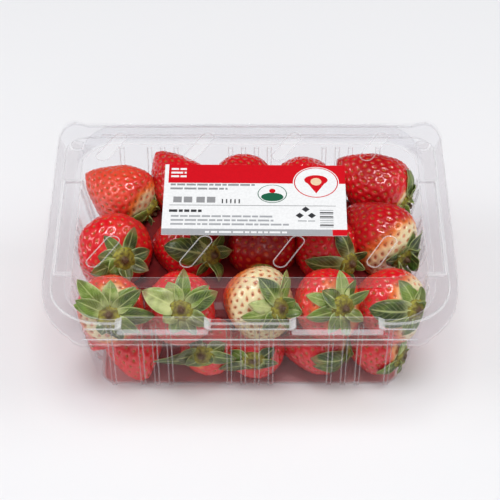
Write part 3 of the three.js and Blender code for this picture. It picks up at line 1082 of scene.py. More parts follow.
top_berries = [Berry(row, i) for i, row in enumerate(TOP_LAYER)]
low_berries = [Berry(row, 50 + i) for i, row in enumerate(LOW_LAYER)]
print(len(top_berries), "berries on top and", len(low_berries), "below")

# %% [markdown]
# Soft fruit gives way where it meets the clear wall. Every point of a berry or a leaf that
# would pass through the plastic is brought back to the wall, which leaves the small flat
# patches that packed fruit has.

# %% Keep inside the wall
def hollow_size(z):
    """Half width, half depth and corner radius of the free room at a height."""
    if z <= PARTING_Z:
        size = tray_size(max(z, 0))
    else:
        share = min((z - PARTING_Z) / (SHOULDER_Z - PARTING_Z), 1)
        ends = zip(OPENING_SIZE, DOME_SHOULDER)
        size = [low + (high - low) * share for low, high in ends]
    return [value - FRUIT_INSET for value in size]


def keep_inside(point):
    """The point itself, or the nearest one inside the wall and above the floor."""
    z = max(point.z, FRUIT_INSET)
    half_x, half_y, radius = hollow_size(z)
    flat_x, flat_y = half_x - radius, half_y - radius
    over_x, over_y = abs(point.x) - flat_x, abs(point.y) - flat_y
    x, y = min(abs(point.x), half_x), min(abs(point.y), half_y)
    if over_x > 0 and over_y > 0:
        reach = math.hypot(over_x, over_y)
        if reach > radius:
            x = flat_x + over_x * radius / reach
            y = flat_y + over_y * radius / reach
    return Vector((math.copysign(x, point.x), math.copysign(y, point.y), z))


# %% [markdown]
# ## A ball of pits
#
# A strawberry's seeds sit in small pits, spread evenly over the skin like the scales of a
# cone. A golden spiral spreads points over a ball in just that way. A convex hull joins them
# into a net, and bevelling its corners turns each point into a small face. Two insets of
# that face make the pit, and the cushions between the pits are poked so that they can swell.
# The ball only holds directions and a pit depth: each berry later reads its own shape off it.

# %% Pitted ball
GOLDEN_ANGLE = math.pi * (3 - math.sqrt(5))
PIT_SHARE = 34
SHAKE = 0.1
# Depth at the pit's rim, slope and bottom, and on the cushion between pits.
RIM, SLOPE, BOTTOM, SWELL = 0.18, 0.85, 1.0, -0.25
SLOPE_STEP, BOTTOM_STEP = 0.13, 0.08


def spiral(count, rng):
    """Directions spread evenly over a ball, each moved a little at random."""
    spacing = math.sqrt(4 * math.pi / count)
    for i in range(count):
        z = 1 - (2 * i + 1) / count
        level = math.sqrt(1 - z * z)
        turn = i * GOLDEN_ANGLE
        point = Vector((level * math.cos(turn), level * math.sin(turn), z))
        shake = Vector([rng.uniform(-SHAKE, SHAKE) * spacing for _ in range(3)])
        yield (point + shake).normalized()


def pitted_ball(count, seed):
    """A ball with one pit for each seed, with each vertex's share of the pit's depth."""
    bm = bmesh.new()
    depth = bm.verts.layers.float.new("pit")
    for direction in spiral(count, random.Random(seed)):
        bm.verts.new(direction)
    bmesh.ops.convex_hull(bm, input=bm.verts)
    pits = bmesh.ops.bevel(
        bm,
        geom=list(bm.verts),
        offset=PIT_SHARE,
        offset_type="PERCENT",
        affect="VERTICES",
        segments=1,
        profile=0.5,
        material=-1,
    )["faces"]
    for vert in bm.verts:
        vert[depth] = RIM
    flat = set(pits)
    between = [face for face in bm.faces if face not in flat]
    for vert in bmesh.ops.poke(bm, faces=between)["verts"]:
        vert[depth] = SWELL
    spacing = math.sqrt(4 * math.pi / count)
    for level, step in ((SLOPE, SLOPE_STEP), (BOTTOM, BOTTOM_STEP)):
        bmesh.ops.inset_individual(bm, faces=pits, thickness=step * spacing, use_even_offset=True)
        for vert in {v for f in pits for v in f.verts}:
            vert[depth] = level
    bmesh.ops.recalc_face_normals(bm, faces=bm.faces)
    centres = [f.calc_center_median().normalized() for f in pits]
    return bm, centres


fine_ball, fine_pits = pitted_ball(count=250, seed=3)
coarse_ball, coarse_pits = pitted_ball(count=170, seed=4)
print("Pitted balls:", len(fine_ball.verts), "and", len(coarse_ball.verts), "vertices")

# %% [markdown]
# ## The berry's form
#
# From its calyx a strawberry swells quickly to a broad shoulder and then narrows to a blunt
# tip. One profile formula gives the half width along the length. A ball's height is turned
# into a place along the berry so that equal areas stay equal, which keeps the seeds evenly
# spaced, and a slow noise makes each berry lumpy in its own way.

# %% Berry form
PROFILE_POWER = 0.62
PROFILE_FULLNESS = 0.75
PROFILE_STEPS = 200
SLOPE_SPAN = 0.01
PIT_DEPTH = 0.75
LUMP = 0.055


def half_width(share):
    """Half the berry's width, as a share of its full width, at a share of its length."""
    wave = math.sin(math.pi * min(max(share, 0), 1) ** PROFILE_POWER)
    return 0.5 * max(wave, 0) ** PROFILE_FULLNESS


def widening(berry, share):
    """How fast a berry's half width grows along its length, in mm to the mm."""
    change = half_width(share + SLOPE_SPAN) - half_width(share - SLOPE_SPAN)
    return change * berry.width / (2 * SLOPE_SPAN * berry.length)


def area_table(width, length):
    """The share of the skin's area that lies before each step along the berry."""
    total, table = 0.0, [0.0]
    for step in range(PROFILE_STEPS):
        start, end = step / PROFILE_STEPS, (step + 1) / PROFILE_STEPS
        rise = (half_width(end) - half_width(start)) * width
        strip = math.hypot(rise, length / PROFILE_STEPS)
        total += strip * (half_width(start) + half_width(end)) * width
        table.append(total)
    return [value / total for value in table]


class BerryForm:
    """Turns a direction into a point on one berry's skin."""

    def __init__(self, berry):
        self.berry = berry
        self.table = area_table(berry.width, berry.length)
        self.offset = Vector([berry.rng.uniform(-50, 50) for _ in range(3)])
        self.turn = berry.rng.uniform(0, 2 * math.pi)
        self.oval = berry.rng.uniform(0.0, 0.07)

    def share(self, height):
        """How far along the berry a ball's height lies: -1 is the calyx and 1 the tip."""
        area = (height + 1) / 2
        low, high = 0, PROFILE_STEPS
        while high - low > 1:
            half = (low + high) // 2
            low, high = (half, high) if self.table[half] <= area else (low, half)
        span = self.table[high] - self.table[low]
        return (low + (area - self.table[low]) / max(span, 1e-9)) / PROFILE_STEPS

    def point(self, direction):
        """The place on the skin, its outward direction, and its share of the length."""
        berry = self.berry
        share = self.share(max(-1, min(1, direction.z)))
        angle = math.atan2(direction.y, direction.x) + self.turn
        lump = noise.noise(direction * 1.7 + self.offset)
        size = 1 + self.oval * math.cos(2 * angle) + LUMP * lump
        radius = half_width(share) * berry.width * size
        outward = berry.outward(angle)
        normal = (outward - berry.tip * widening(berry, share)).normalized()
        along = (share - WIDEST) * berry.length
        return berry.middle + berry.tip * along + outward * radius, normal, share


# %% Berries from the ball
MEASURES = ("pit", "share", "ripeness", "pale")
CALYX_FADE = 0.12
TIP_FADE = 0.1
TIP_END = 1.03


def join_to(group, bm, name):
    """Move a shape with its measures into a group of shapes."""
    mesh = bpy.data.meshes.new(name)
    bm.to_mesh(mesh)
    bm.free()
    group.from_mesh(mesh)
    bpy.data.meshes.remove(mesh)


def add_berry(group, berry, ball):
    """Copy a pitted ball into a group as one berry."""
    form = BerryForm(berry)
    bm = ball.copy()
    layers = bm.verts.layers.float
    pit, share_layer, ripeness, pale = [layers.get(m) or layers.new(m) for m in MEASURES]
    for vert in bm.verts:
        place, normal, share = form.point(vert.co.normalized())
        fade = min(1.0, share / CALYX_FADE, (TIP_END - share) / TIP_FADE)
        place -= normal * PIT_DEPTH * vert[pit] * fade
        vert.co = keep_inside(place)
        vert[share_layer] = share
        vert[ripeness] = berry.ripeness
        vert[pale] = berry.pale
    join_to(group, bm, "berry")
    return form


def berry_layer(name, berries, ball, material):
    """All berries of one layer as one object, and each berry's form."""
    group = bmesh.new()
    for measure in MEASURES:
        group.verts.layers.float.new(measure)
    forms = [add_berry(group, berry, ball) for berry in berries]
    bmesh.ops.recalc_face_normals(group, faces=group.faces)
    return make_object(name, group, [material]), forms


# %% [markdown]
# ## Flesh
#
# The skin runs from orange red to deep crimson as a berry ripens, and stays cream near the
# calyx where the sun didn't reach. Colour comes from the numbers stored on the mesh: the
# share of the length, the ripeness and the pit depth. A little light travels under the skin,
# and a clear coat gives the wet gloss that draws a pale net round the pits.

# %% Flesh material
DEEP_RED = (0.36, 0.0, 0.004, 1)
BRIGHT_RED = (0.76, 0.004, 0.012, 1)
LIGHT_RED = (0.84, 0.07, 0.03, 1)
SHOULDER_ORANGE = (0.9, 0.24, 0.03, 1)
SHOULDER_CREAM = (0.9, 0.74, 0.42, 1)
PIT_RED = (0.70, 0.09, 0.015, 1)


def make_flesh():
    """Glossy flesh that reads its ripeness, pale shoulder and pits off the mesh."""
    material, tree, output = new_material("berry_flesh")
    patch = place_mottle(tree, 55.0, 2.0)
    fine = place_mottle(tree, 420.0, 3.0)
    ripeness = read_attribute(tree, "ripeness")
    uneven = maths(tree, "MULTIPLY_ADD", patch, 0.3)
    tree.links.new(maths(tree, "ADD", ripeness, -0.15), uneven.node.inputs[2])
    light_to_bright = map_range(tree, uneven, 0.05, 0.5)
    bright_to_deep = map_range(tree, uneven, 0.5, 1.05)
    red = blend_colours(tree, light_to_bright, LIGHT_RED, BRIGHT_RED)
    red = blend_colours(tree, bright_to_deep, red, DEEP_RED)
    share = read_attribute(tree, "share")
    pale = read_attribute(tree, "pale")
    ragged = maths(tree, "MULTIPLY_ADD", patch, 0.10)
    tree.links.new(share, ragged.node.inputs[2])
    past = maths(tree, "DIVIDE", ragged, pale)
    orange_share = map_range(tree, past, 1.35, 0.85)
    cream_share = map_range(tree, past, 1.05, 0.6)
    colour = blend_colours(tree, orange_share, red, SHOULDER_ORANGE)
    colour = blend_colours(tree, cream_share, colour, SHOULDER_CREAM)
    pit = map_range(tree, read_attribute(tree, "pit"), 0.2, 0.85, 0.0, 0.65)
    colour = blend_colours(tree, pit, colour, PIT_RED)
    shader = add_node(
        tree,
        "ShaderNodeBsdfPrincipled",
        Roughness=0.34,
        Subsurface_Weight=0.12,
        Subsurface_Scale=0.004,
        Coat_Weight=0.8,
        Coat_Roughness=0.07,
    )
    shader.inputs["Subsurface Radius"].default_value = (1.0, 0.2, 0.12)
    tree.links.new(colour, shader.inputs["Base Color"])
    tree.links.new(add_bump(tree, fine, 0.12, 0.0003), shader.inputs["Normal"])
    tree.links.new(shader.outputs[0], output.inputs["Surface"])
    return material


berry_flesh = make_flesh()
berries_top, top_forms = berry_layer("berries_top", top_berries, fine_ball, berry_flesh)
berries_low, low_forms = berry_layer("berries_low", low_berries, coarse_ball, berry_flesh)
for layer in (berries_top, berries_low):
    hand_over(layer, "base", "berries")

# %% [markdown]
# ## Seeds
#
# A seed is a flattened grain just over a millimetre long at the bottom of its pit. There are
# thousands, so each is a ball of only twenty faces. The pits fade out under the calyx and at
# the very tip, so there are no seeds there.

# %% Seed shapes
SEED_SIZE = (0.42, 0.62, 0.3)
SEED_SINK = 0.825
SEEDS_FROM = 0.08
SEEDS_TO = 0.985


def add_seeds(group, forms, pits):
    """One grain in each pit of each berry, from the calyx to the tip."""
    for form in forms:
        berry = form.berry
        grains = bmesh.new()
        tone = grains.verts.layers.float.new("tone")
        for direction in pits:
            place, normal, share = form.point(direction)
            if not SEEDS_FROM < share < SEEDS_TO:
                continue
            across = berry.tip.cross(normal).normalized()
            along = normal.cross(across)
            seat = keep_inside(place - normal * PIT_DEPTH * SEED_SINK)
            turn = Matrix((across, along, normal)).transposed().to_4x4()
            grain = Matrix.Translation(seat) @ turn @ Matrix.Diagonal((*SEED_SIZE, 1))
            made = bmesh.ops.create_icosphere(grains, subdivisions=1, radius=1, matrix=grain)
            for vert in made["verts"]:
                vert[tone] = berry.rng.uniform(0, 1)
        join_to(group, grains, "grains")


# %% Seed finish
SEED_YELLOW = (0.50, 0.24, 0.05, 1)
SEED_BROWN = (0.36, 0.07, 0.02, 1)


def make_seed_skin():
    """Grains that run from straw yellow to brown."""
    material, tree, output = new_material("seed_skin")
    colour = blend_colours(tree, read_attribute(tree, "tone"), SEED_YELLOW, SEED_BROWN)
    shader = add_node(tree, "ShaderNodeBsdfPrincipled", Roughness=0.4, Coat_Weight=0.3)
    tree.links.new(colour, shader.inputs["Base Color"])
    grain = place_mottle(tree, 2500.0, 1.0)
    tree.links.new(add_bump(tree, grain, 0.2, 0.0001), shader.inputs["Normal"])
    tree.links.new(shader.outputs[0], output.inputs["Surface"])
    return material


seed_bm = bmesh.new()
seed_bm.verts.layers.float.new("tone")
add_seeds(seed_bm, top_forms, fine_pits)
add_seeds(seed_bm, low_forms, coarse_pits)
seeds = make_object("seeds", seed_bm, [make_seed_skin()])
hand_over(seeds, "base", "berries")

# %% [markdown]
# ## Leaves
#
# The calyx is a star of broad pointed leaves, folded along the midrib. Some lie on the fruit's
# shoulder and some stand away from it, so each leaf has a lift, a curl towards its tip and a
# wave along its edge. The leaves that are easy to see were set one by one: the angle round the
# stem, length, width, lift, curl and tone. A seeded star serves for all other berries.

# %% Leaf places
# angle, length, width, lift, curl, tone from dark 0 to pale 1; the tone is partly the leaf's own green
# and partly painted light and shade, low for leaves that lie in shadow
SEEN_LEAVES = {
    0: [
        (83, 9, 6.6, -74, 0.2, 0.52), (-54, 7, 6.6, -18, 0.0, 0.27), (-51, 5, 7.2, 78, 0.5, 0.87),
        (107, 6, 7.2, -9, 0.2, 0.42), (122, 6, 8.4, 55, 0.2, 0.32), (161, 7, 7.2, 94, 0.0, 0.12),
    ],
    4: [
        (84, 15, 5.4, -73, -0.2, 0.55), (-26, 12, 8.4, -56, -0.3, 0.40),
        (-43, 14, 8.4, -30, -0.3, 0.45), (-49, 10, 9.0, 10, -0.2, 0.35), (-50, 7, 9.0, 72, -0.1, 0.40),
        (103, 7, 9.0, 83, 0.0, 0.45), (102, 3, 7.8, -18, -0.2, 0.30),
    ],
    5: [
        (67, 9, 9.0, -23, -0.3, 0.27), (23, 11, 6.6, -26, -0.3, 0.27), (-38, 13, 7.2, -13, 0.2, 0.22),
        (106, 7, 8.4, 15, -0.4, 0.42), (98, 14, 8.4, -10, -0.3, 0.22), (-88, 10, 7.2, 9, -0.2, 0.02),
        (-130, 10, 7.2, 29, 0.0, 0.02), (167, 9, 7.2, 40, 0.0, 0.12),
    ],
    6: [
        (50, 20, 11.5, -51, -0.3, 0.22), (16, 10, 9.6, -50, -0.2, 0.25), (-56, 8, 8.4, 11, -0.2, 0.42),
        (150, 11, 7.8, 37, -0.9, 0.27), (-97, 8, 7.2, 59, -0.2, 0.22), (116, 9, 6.0, -19, 0.0, 0.22),
    ],
    7: [
        (113, 8, 7.2, 47, -0.2, 0.22), (-112, 8, 7.2, 47, -0.2, 0.22), (177, 8, 7.2, 79, 0.0, 0.22),
        (99, 10, 6.0, 16, 0.0, 0.22),
    ],
    8: [
        (-3, 12, 9.0, -53, -0.2, 0.17), (72, 19, 9.6, -46, -0.5, 0.27), (92, 5, 6.0, 22, -0.2, 0.67),
        (-63, 8, 5.4, 40, -0.2, 0.00), (-125, 8, 4.8, 92, 0.0, 0.22), (135, 8, 7.2, 43, 0.0, 0.32),
    ],
    9: [
        (-35, 10, 7.2, -29, -0.2, 0.32), (-52, 13, 8.4, -7, -0.3, 0.07), (16, 5, 7.2, -68, -0.3, 0.22),
        (70, 7, 8.4, -50, -0.3, 0.12), (-66, 8, 9.6, 37, -0.2, 0.12), (-102, 11, 9.6, 93, 0.0, 0.17),
        (132, 10, 9.0, 81, 0.0, 0.22), (110, 6, 8.4, 36, 0.0, 0.27),
    ],
    10: [
        (40, 19, 10.2, -4, -0.3, 0.72), (-4, 13, 8.4, -6, -0.2, 0.85), (-45, 15, 9.0, -13, -0.3, 0.60),
        (-52, 16, 7.8, -1, -0.5, 0.25), (63, 14, 8.4, 9, -0.3, 0.50), (73, 14, 7.2, -6, 0.0, 0.70),
        (-92, 18, 9.0, -2, -0.4, 0.35), (-165, 17, 7.8, 18, -0.2, 0.20), (158, 12, 7.8, 24, -0.2, 0.40),
        (-123, 14, 7.2, 9, -0.2, 0.50),
    ],
    11: [
        (60, 17, 11.5, 5, -0.2, 1.00), (22, 11, 9.0, -5, -0.2, 0.75), (-7, 16, 7.8, -8, -0.1, 0.50),
        (-51, 14, 7.2, 2, -0.2, 0.55), (-67, 16, 9.6, -4, -0.5, 0.30), (120, 7, 7.2, 21, 0.0, 0.85),
        (161, 12, 7.2, 17, -0.2, 0.70), (-159, 14, 7.2, 16, -0.2, 0.40),
        (-120, 12, 7.2, 10, -0.2, 0.40),
    ],
    12: [
        (5, 15, 9.6, -22, -0.6, 0.30), (-43, 15, 6.6, -4, 0.5, 0.70), (-43, 12, 4.8, 9, 0.2, 0.45),
        (-124, 10, 7.8, 61, -0.4, 0.40), (76, 15, 7.2, -37, -0.2, 0.60), (53, 11, 6.6, -41, 0.2, 0.90),
        (107, 10, 8.4, -6, -0.3, 0.35), (150, 9, 8.4, 46, -0.3, 0.25), (-78, 6, 7.2, 59, -0.3, 0.35),
    ],
    13: [
        (-18, 14, 6.6, -5, -0.1, 0.95), (29, 10, 9.0, -14, -0.8, 0.15), (48, 15, 6.6, -33, -0.3, 0.80),
        (85, 15, 7.2, -29, 0.0, 0.50), (-45, 11, 6.0, 11, 0.6, 0.40), (-72, 12, 6.0, 39, -0.2, 0.50),
        (-154, 9, 7.2, 46, 0.0, 0.40), (123, 11, 7.2, 2, 0.0, 0.60), (156, 12, 7.2, 21, 0.0, 0.50),
    ],
    14: [
        (61, 17, 11.4, -52, -0.4, 0.14), (-1, 12, 9.0, -39, -0.5, 0.60), (-42, 8, 7.2, 1, -0.3, 0.50),
        (121, 10, 7.2, -8, 0.0, 0.50), (81, 14, 7.2, -47, -0.3, 0.30), (-71, 4, 8.4, 65, 0.0, 0.55),
        (176, 4, 8.4, 74, 0.0, 0.50), (142, 7, 7.2, 11, 0.0, 0.50),
    ],
    52: [
        (99, 10, 11.5, 38, -0.3, 0.00), (107, 22, 7.8, 33, -0.2, 0.12), (-88, 13, 8.4, -7, -0.3, 0.30),
        (-128, 6, 9.6, 50, -0.2, 0.30), (143, 9, 8.4, 50, -0.2, 0.30), (35, 7, 8.4, -26, 0.0, 0.30),
        (-54, 8, 8.4, -39, 0.0, 0.30),
    ],
    53: [
        (115, 17, 8.4, 35, -0.2, 0.05), (167, 8, 8.4, 68, -0.1, 0.40), (-94, 9, 7.2, 16, -0.2, 0.10),
        (68, 9, 7.2, -15, -0.2, 0.40), (-54, 8, 7.2, -36, -0.2, 0.30), (-128, 8, 6.0, 49, 0.0, 0.30),
    ],
    54: [
        (88, 15, 6.0, -66, -0.2, 0.26), (72, 15, 4.8, -82, -0.2, 0.20), (83, 6, 4.8, 14, 0.0, 0.70),
        (44, 5, 6.0, 72, 0.0, 0.40),
    ],
    55: [
        (104, 10, 7.8, -47, -0.2, 0.50), (111, 12, 7.2, -29, 0.0, 0.20), (119, 12, 8.4, 53, 0.0, 0.25),
        (9, 6, 6.0, -91, 0.0, 0.70), (138, 9, 6.0, 104, 0.0, 0.30), (-59, 6, 6.0, 67, 0.0, 0.50),
    ],
}
print(sum(len(star) for star in SEEN_LEAVES.values()), "leaves set by hand")

# %% [markdown]
# A leaf starts as a flat grid. Every point is moved along the leaf's own curve, and one that
# would dive into a berry slips out along the skin's slope until it lies just above it. The
# star of a hidden calyx has uneven leaves, drawn from the berry's own seeded numbers.

# %% Leaf shapes
LEAF_ACROSS = 4
LEAF_ALONG = 10
LEAF_THICK = 0.28
LEAF_FOLD = 0.14
LEAF_BASE = 3.5
LEAF_CLEARANCE = 0.7
SLIP_TRIES = 4
SPINE_STEPS = 20
NEIGHBOUR_REACH = 46
STAR_LEAVES = 7
STAR_LENGTH = 11
STAR_LIFT = 22


class Leaf:
    """One leaf: its angle round the stem, length, width, lift, curl and tone."""

    def __init__(self, angle, length, width, lift, curl, tone, rng):
        self.angle = math.radians(angle)
        self.length = length
        self.width = width
        self.lift = math.radians(lift) - curl / 2
        self.curl = curl
        self.tone = tone
        self.wave = rng.uniform(0.03, 0.08) * width
        self.phase = rng.uniform(0, 2 * math.pi)
        self.twist = rng.uniform(-0.3, 0.3)


def leaf_width(share):
    """The leaf's width along it: broad in the middle, then drawn out to a point."""
    return 2.27 * (share + 0.12) ** 0.6 * max(1 - share, 0) ** 0.85


def leaf_spine(leaf, share):
    """How far out and how far off the fruit the midrib is, and its direction there."""
    out, off = LEAF_BASE, 0.0
    stride = leaf.length / SPINE_STEPS
    for step in range(SPINE_STEPS):
        part = min(max(share * SPINE_STEPS - step, 0), 1)
        angle = leaf.lift + leaf.curl * (step + 0.5) / SPINE_STEPS
        out += part * math.cos(angle) * stride
        off += part * math.sin(angle) * stride
    return out, off, leaf.lift + leaf.curl * share


def slip_off(point, berry):
    """Move a point that is inside a berry to just above its skin."""
    for _ in range(SLIP_TRIES):
        offset = point - berry.middle
        along = offset.dot(berry.tip)
        share = WIDEST + along / berry.length
        if not 0 < share < 1:
            return point
        across = offset - along * berry.tip
        gap = across.length - half_width(share) * berry.width
        if gap >= LEAF_CLEARANCE:
            return point
        steep = across.normalized() - berry.tip * widening(berry, share)
        point = point + steep * (LEAF_CLEARANCE - gap) / steep.length_squared
    return point


def add_leaf(group, layers, berry, neighbours, leaf):
    """Bend a flat grid along the leaf's curve and add it to the group."""
    along_layer, across_layer, tone_layer = layers
    grid = bmesh.ops.create_grid(group, x_segments=LEAF_ACROSS, y_segments=LEAF_ALONG, size=1)
    outward = berry.outward(leaf.angle)
    sideways = outward.cross(berry.tip)
    for vert in grid["verts"]:
        across, share = vert.co.x, (vert.co.y + 1) / 2
        out, off, angle = leaf_spine(leaf, share)
        reach = leaf.width * leaf_width(share) / 2 * across
        ripple = leaf.wave * math.sin(7 * share + leaf.phase + across) * abs(across)
        raised = LEAF_FOLD * abs(reach) * 2 + ripple + leaf.twist * reach
        out -= math.sin(angle) * raised
        off += math.cos(angle) * raised
        place = berry.calyx + outward * out - berry.tip * off + sideways * reach
        for other in [berry, *neighbours]:
            place = slip_off(place, other)
        vert.co = keep_inside(place)
        vert[along_layer] = share
        vert[across_layer] = across
        vert[tone_layer] = leaf.tone


def grow_star(berry):
    """A full star of leaves with uneven sizes and lifts, for a berry that hides its calyx."""
    rng = berry.rng
    start = rng.uniform(0, 360)
    star = []
    for i in range(STAR_LEAVES):
        angle = start + 360 * (i + rng.uniform(-0.25, 0.25)) / STAR_LEAVES
        length = STAR_LENGTH * rng.uniform(0.75, 1.15)
        width = length * rng.uniform(0.45, 0.6)
        lift = rng.uniform(-STAR_LIFT, STAR_LIFT)
        curl = rng.uniform(-0.7, 0.3)
        tone = rng.uniform(0.1, 0.6)
        star.append(Leaf(angle, length, width, lift, curl, tone, rng))
    return star


def neighbours_of(berry, berries):
    """The berries near a calyx, from the farthest to the nearest."""
    apart = {b.number: (b.middle - berry.calyx).length for b in berries if b is not berry}
    near = [b for b in berries if apart.get(b.number, NEIGHBOUR_REACH) < NEIGHBOUR_REACH]
    return sorted(near, key=lambda b: -apart[b.number])


def all_leaves():
    """The leaves of every berry."""
    group = bmesh.new()
    layers = [group.verts.layers.float.new(name) for name in ("along", "across", "tone")]
    berries = top_berries + low_berries
    for berry in berries:
        neighbours = neighbours_of(berry, berries)
        rows = SEEN_LEAVES.get(berry.number)
        star = [Leaf(*row, berry.rng) for row in rows] if rows else grow_star(berry)
        for leaf in star:
            add_leaf(group, layers, berry, neighbours, leaf)
    return group


# %% [markdown]
# The leaf's colour follows its own measures: a lighter midrib and pale rim come from the
# share across it, and the tip is a little browner. Side veins are a wave of both measures,
# and a coarse mottle makes some patches look withered.

# %% Leaf material
LEAF_DARK = (0.028, 0.05, 0.008, 1)
LEAF_FRESH = (0.17, 0.26, 0.025, 1)
LEAF_PALE = (0.66, 0.71, 0.30, 1)
LEAF_TIP = (0.28, 0.14, 0.06, 1)
LEAF_BROWN = (0.10, 0.08, 0.02, 1)


def leaf_lines(tree, along, across):
    """A mask of the slanted side veins, the midrib and the rim."""
    slanted = maths(tree, "MULTIPLY_ADD", across, -0.35)
    tree.links.new(along, slanted.node.inputs[2])
    wave = maths(tree, "SINE", maths(tree, "MULTIPLY", slanted, 55.0))
    veins = map_range(tree, wave, 0.72, 1.0, 0.0, 0.22)
    midrib = map_range(tree, across, 0.12, 0.0, 0.0, 0.6)
    rim = map_range(tree, across, 0.86, 1.0, 0.0, 0.5)
    return maths(tree, "MAXIMUM", maths(tree, "MAXIMUM", veins, midrib), rim)


def make_leaf_skin():
    """Leaf green that runs from dark to pale by each leaf's tone, which also paints in some of its
    light and shade.
    """
    material, tree, output = new_material("leaf_skin")
    along = read_attribute(tree, "along")
    across = maths(tree, "ABSOLUTE", read_attribute(tree, "across"))
    tone = read_attribute(tree, "tone")
    patch = place_mottle(tree, 160.0, 3.0)
    mixed = maths(tree, "MULTIPLY_ADD", patch, 0.44)
    tree.links.new(maths(tree, "ADD", tone, -0.22), mixed.node.inputs[2])
    colour = blend_colours(tree, map_range(tree, mixed, 0.0, 0.7), LEAF_DARK, LEAF_FRESH)
    colour = blend_colours(tree, map_range(tree, mixed, 0.6, 1.1, 0.0, 0.75), colour, LEAF_PALE)
    withered = map_range(tree, place_mottle(tree, 95.0, 2.0), 0.5, 0.95, 0.0, 0.5)
    colour = blend_colours(tree, withered, colour, LEAF_BROWN)
    base = map_range(tree, along, 0.35, 0.0, 0.0, 0.6)
    colour = blend_colours(tree, base, colour, LEAF_PALE)
    lines = leaf_lines(tree, along, across)
    colour = blend_colours(tree, lines, colour, LEAF_PALE)
    uneven_end = maths(tree, "MULTIPLY", along, maths(tree, "ADD", patch, 0.35))
    tip = map_range(tree, uneven_end, 0.75, 1.2, 0.0, 0.8)
    colour = blend_colours(tree, tip, colour, LEAF_TIP)
    shader = add_node(
        tree,
        "ShaderNodeBsdfPrincipled",
        Roughness=0.42,
        Subsurface_Weight=0.15,
        Subsurface_Scale=0.002,
        Coat_Weight=0.12,
    )
    shader.inputs["Subsurface Radius"].default_value = (0.4, 1.0, 0.2)
    tree.links.new(colour, shader.inputs["Base Color"])
    raised_lines = maths(tree, "MULTIPLY", lines, 0.6)
    height = maths(tree, "ADD", raised_lines, maths(tree, "MULTIPLY", patch, 0.4))
    tree.links.new(add_bump(tree, height, 0.35, 0.0003), shader.inputs["Normal"])
    tree.links.new(shader.outputs[0], output.inputs["Surface"])
    return material


leaf_bm = all_leaves()
bmesh.ops.remove_doubles(leaf_bm, verts=leaf_bm.verts, dist=0.001)
leaves = make_object("leaves", leaf_bm, [make_leaf_skin()])
leaf_depth = leaves.modifiers.new("blade", "SOLIDIFY")
leaf_depth.thickness = LEAF_THICK * MM
leaf_depth.offset = 0
hand_over(leaves, "base", "berries")

# %% [markdown]
# ## Stems
#
# In the middle of each calyx a broad yellow-green cushion carries the stub of the cut stem.
# Both are turned from one outline, spun round the berry's axis, and browner at the centre.

# %% Stem shapes
STEM_OUTLINE = [
    (6.0, -1.6), (6.3, -0.4), (5.6, 0.9), (4.4, 1.7), (2.8, 2.0), (1.5, 2.1), (1.15, 2.6),
    (1.1, 3.6), (0.8, 3.9), (0.0, 3.8),
]
STEM_SIDES = 18
STEM_LEAN = 0.3
STEM_RUFFLE = 0.9
CUT_RADIUS = 3.4
CUT_FADE = 2.0


def add_stem(group, cut_layer, berry):
    """Spin the cushion and stub at one calyx, leaning a little to one side."""
    lean = Matrix.Rotation(berry.rng.uniform(-STEM_LEAN, STEM_LEAN), 4, berry.side)
    turn = Matrix((berry.side, berry.up, -berry.tip)).transposed().to_4x4()
    place = Matrix.Translation(berry.calyx) @ lean @ turn
    line = [group.verts.new((radius, 0, height)) for radius, height in STEM_OUTLINE]
    for vert, (radius, _) in zip(line, STEM_OUTLINE):
        vert[cut_layer] = max(0.0, min(1.0, (CUT_RADIUS - radius) / CUT_FADE))
    edges = [group.edges.new(pair) for pair in zip(line, line[1:])]
    known = set(group.verts) - set(line)
    bmesh.ops.spin(
        group,
        geom=line + edges,
        cent=(0, 0, 0),
        axis=(0, 0, 1),
        angle=2 * math.pi,
        steps=STEM_SIDES,
        use_merge=True,
    )
    made = [v for v in group.verts if v not in known]
    bmesh.ops.transform(group, matrix=place, verts=made)
    for vert in made:
        ruffle = STEM_RUFFLE * noise.noise(vert.co * 1.1)
        vert.co = keep_inside(vert.co - berry.tip * ruffle)


# %% Stem finish
STEM_YELLOW = (0.38, 0.35, 0.03, 1)
STEM_OLIVE = (0.15, 0.12, 0.015, 1)
CUT_BROWN = (0.12, 0.06, 0.025, 1)


def make_stem_skin():
    """Yellow-green, and brown where the stem was cut."""
    material, tree, output = new_material("stem_skin")
    patch = place_mottle(tree, 700.0, 3.0)
    green = blend_colours(tree, patch, STEM_YELLOW, STEM_OLIVE)
    colour = blend_colours(tree, read_attribute(tree, "cut"), green, CUT_BROWN)
    shader = add_node(tree, "ShaderNodeBsdfPrincipled", Roughness=0.55)
    tree.links.new(colour, shader.inputs["Base Color"])
    tree.links.new(add_bump(tree, patch, 0.4, 0.0003), shader.inputs["Normal"])
    tree.links.new(shader.outputs[0], output.inputs["Surface"])
    return material


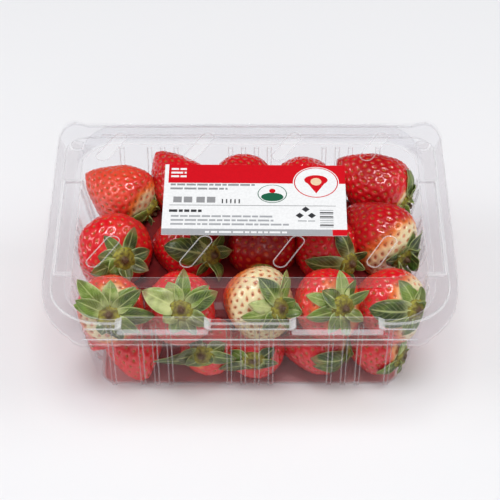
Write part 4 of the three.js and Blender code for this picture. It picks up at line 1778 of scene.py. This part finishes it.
stem_bm = bmesh.new()
cut_layer = stem_bm.verts.layers.float.new("cut")
for berry in top_berries + low_berries:
    add_stem(stem_bm, cut_layer, berry)
bmesh.ops.remove_doubles(stem_bm, verts=stem_bm.verts, dist=0.001)
bmesh.ops.recalc_face_normals(stem_bm, faces=stem_bm.faces)
stems = make_object("stems", stem_bm, [make_stem_skin()])
hand_over(stems, "base", "berries")

# %% [markdown]
# ## The heap's core
#
# Between the berries you look into dark red gaps. A lumpy block of flesh fills the middle of
# the heap, so that no light falls through, and only slivers of it can be seen. It is coloured a
# darker red than any berry, a painted shade for the deep gaps.

# %% Core
CORE_HALF = (58, 41, 19)
CORE_MIDDLE = (0, 0, 23)
CORE_EDGE = 0.25
CORE_LUMP = 3.0
# Reds darker than any berry: painted shade for the gaps between the berries.
CORE_SHADE_DARK = (0.13, 0.003, 0.006, 1)
CORE_SHADE_RED = (0.22, 0.01, 0.01, 1)

core_bm = bmesh.new()
bmesh.ops.create_cube(core_bm, size=2)
bmesh.ops.bevel(
    core_bm,
    geom=list(core_bm.edges),
    offset=CORE_EDGE,
    offset_type="OFFSET",
    affect="EDGES",
    segments=3,
    profile=0.5,
    material=-1,
)
bmesh.ops.subdivide_edges(core_bm, edges=core_bm.edges, cuts=5, use_grid_fill=True)
for vert in core_bm.verts:
    vert.co = Vector([c * half for c, half in zip(vert.co, CORE_HALF)]) + Vector(CORE_MIDDLE)
    vert.co += vert.normal * CORE_LUMP * noise.noise(vert.co * 0.09)

# %% Core finish
core_skin, core_tree, core_output = new_material("core_painted_shade")
core_shader = add_node(core_tree, "ShaderNodeBsdfPrincipled", Roughness=0.5)
core_patch = place_mottle(core_tree, 120.0, 2.0)
core_colour = blend_colours(core_tree, core_patch, CORE_SHADE_DARK, CORE_SHADE_RED)
core_tree.links.new(core_colour, core_shader.inputs["Base Color"])
core_tree.links.new(core_shader.outputs[0], core_output.inputs["Surface"])
core = make_object("heap_core", core_bm, [core_skin])
hand_over(core, "base", "berries")

# %% Sizes and finish
dressed_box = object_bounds()
boxes = {"packed": packed_box, "dressed": dressed_box}
plain = {name: [[float(c) for c in corner] for corner in box] for name, box in boxes.items()}
print("Dressed box in metres:", plain["dressed"])
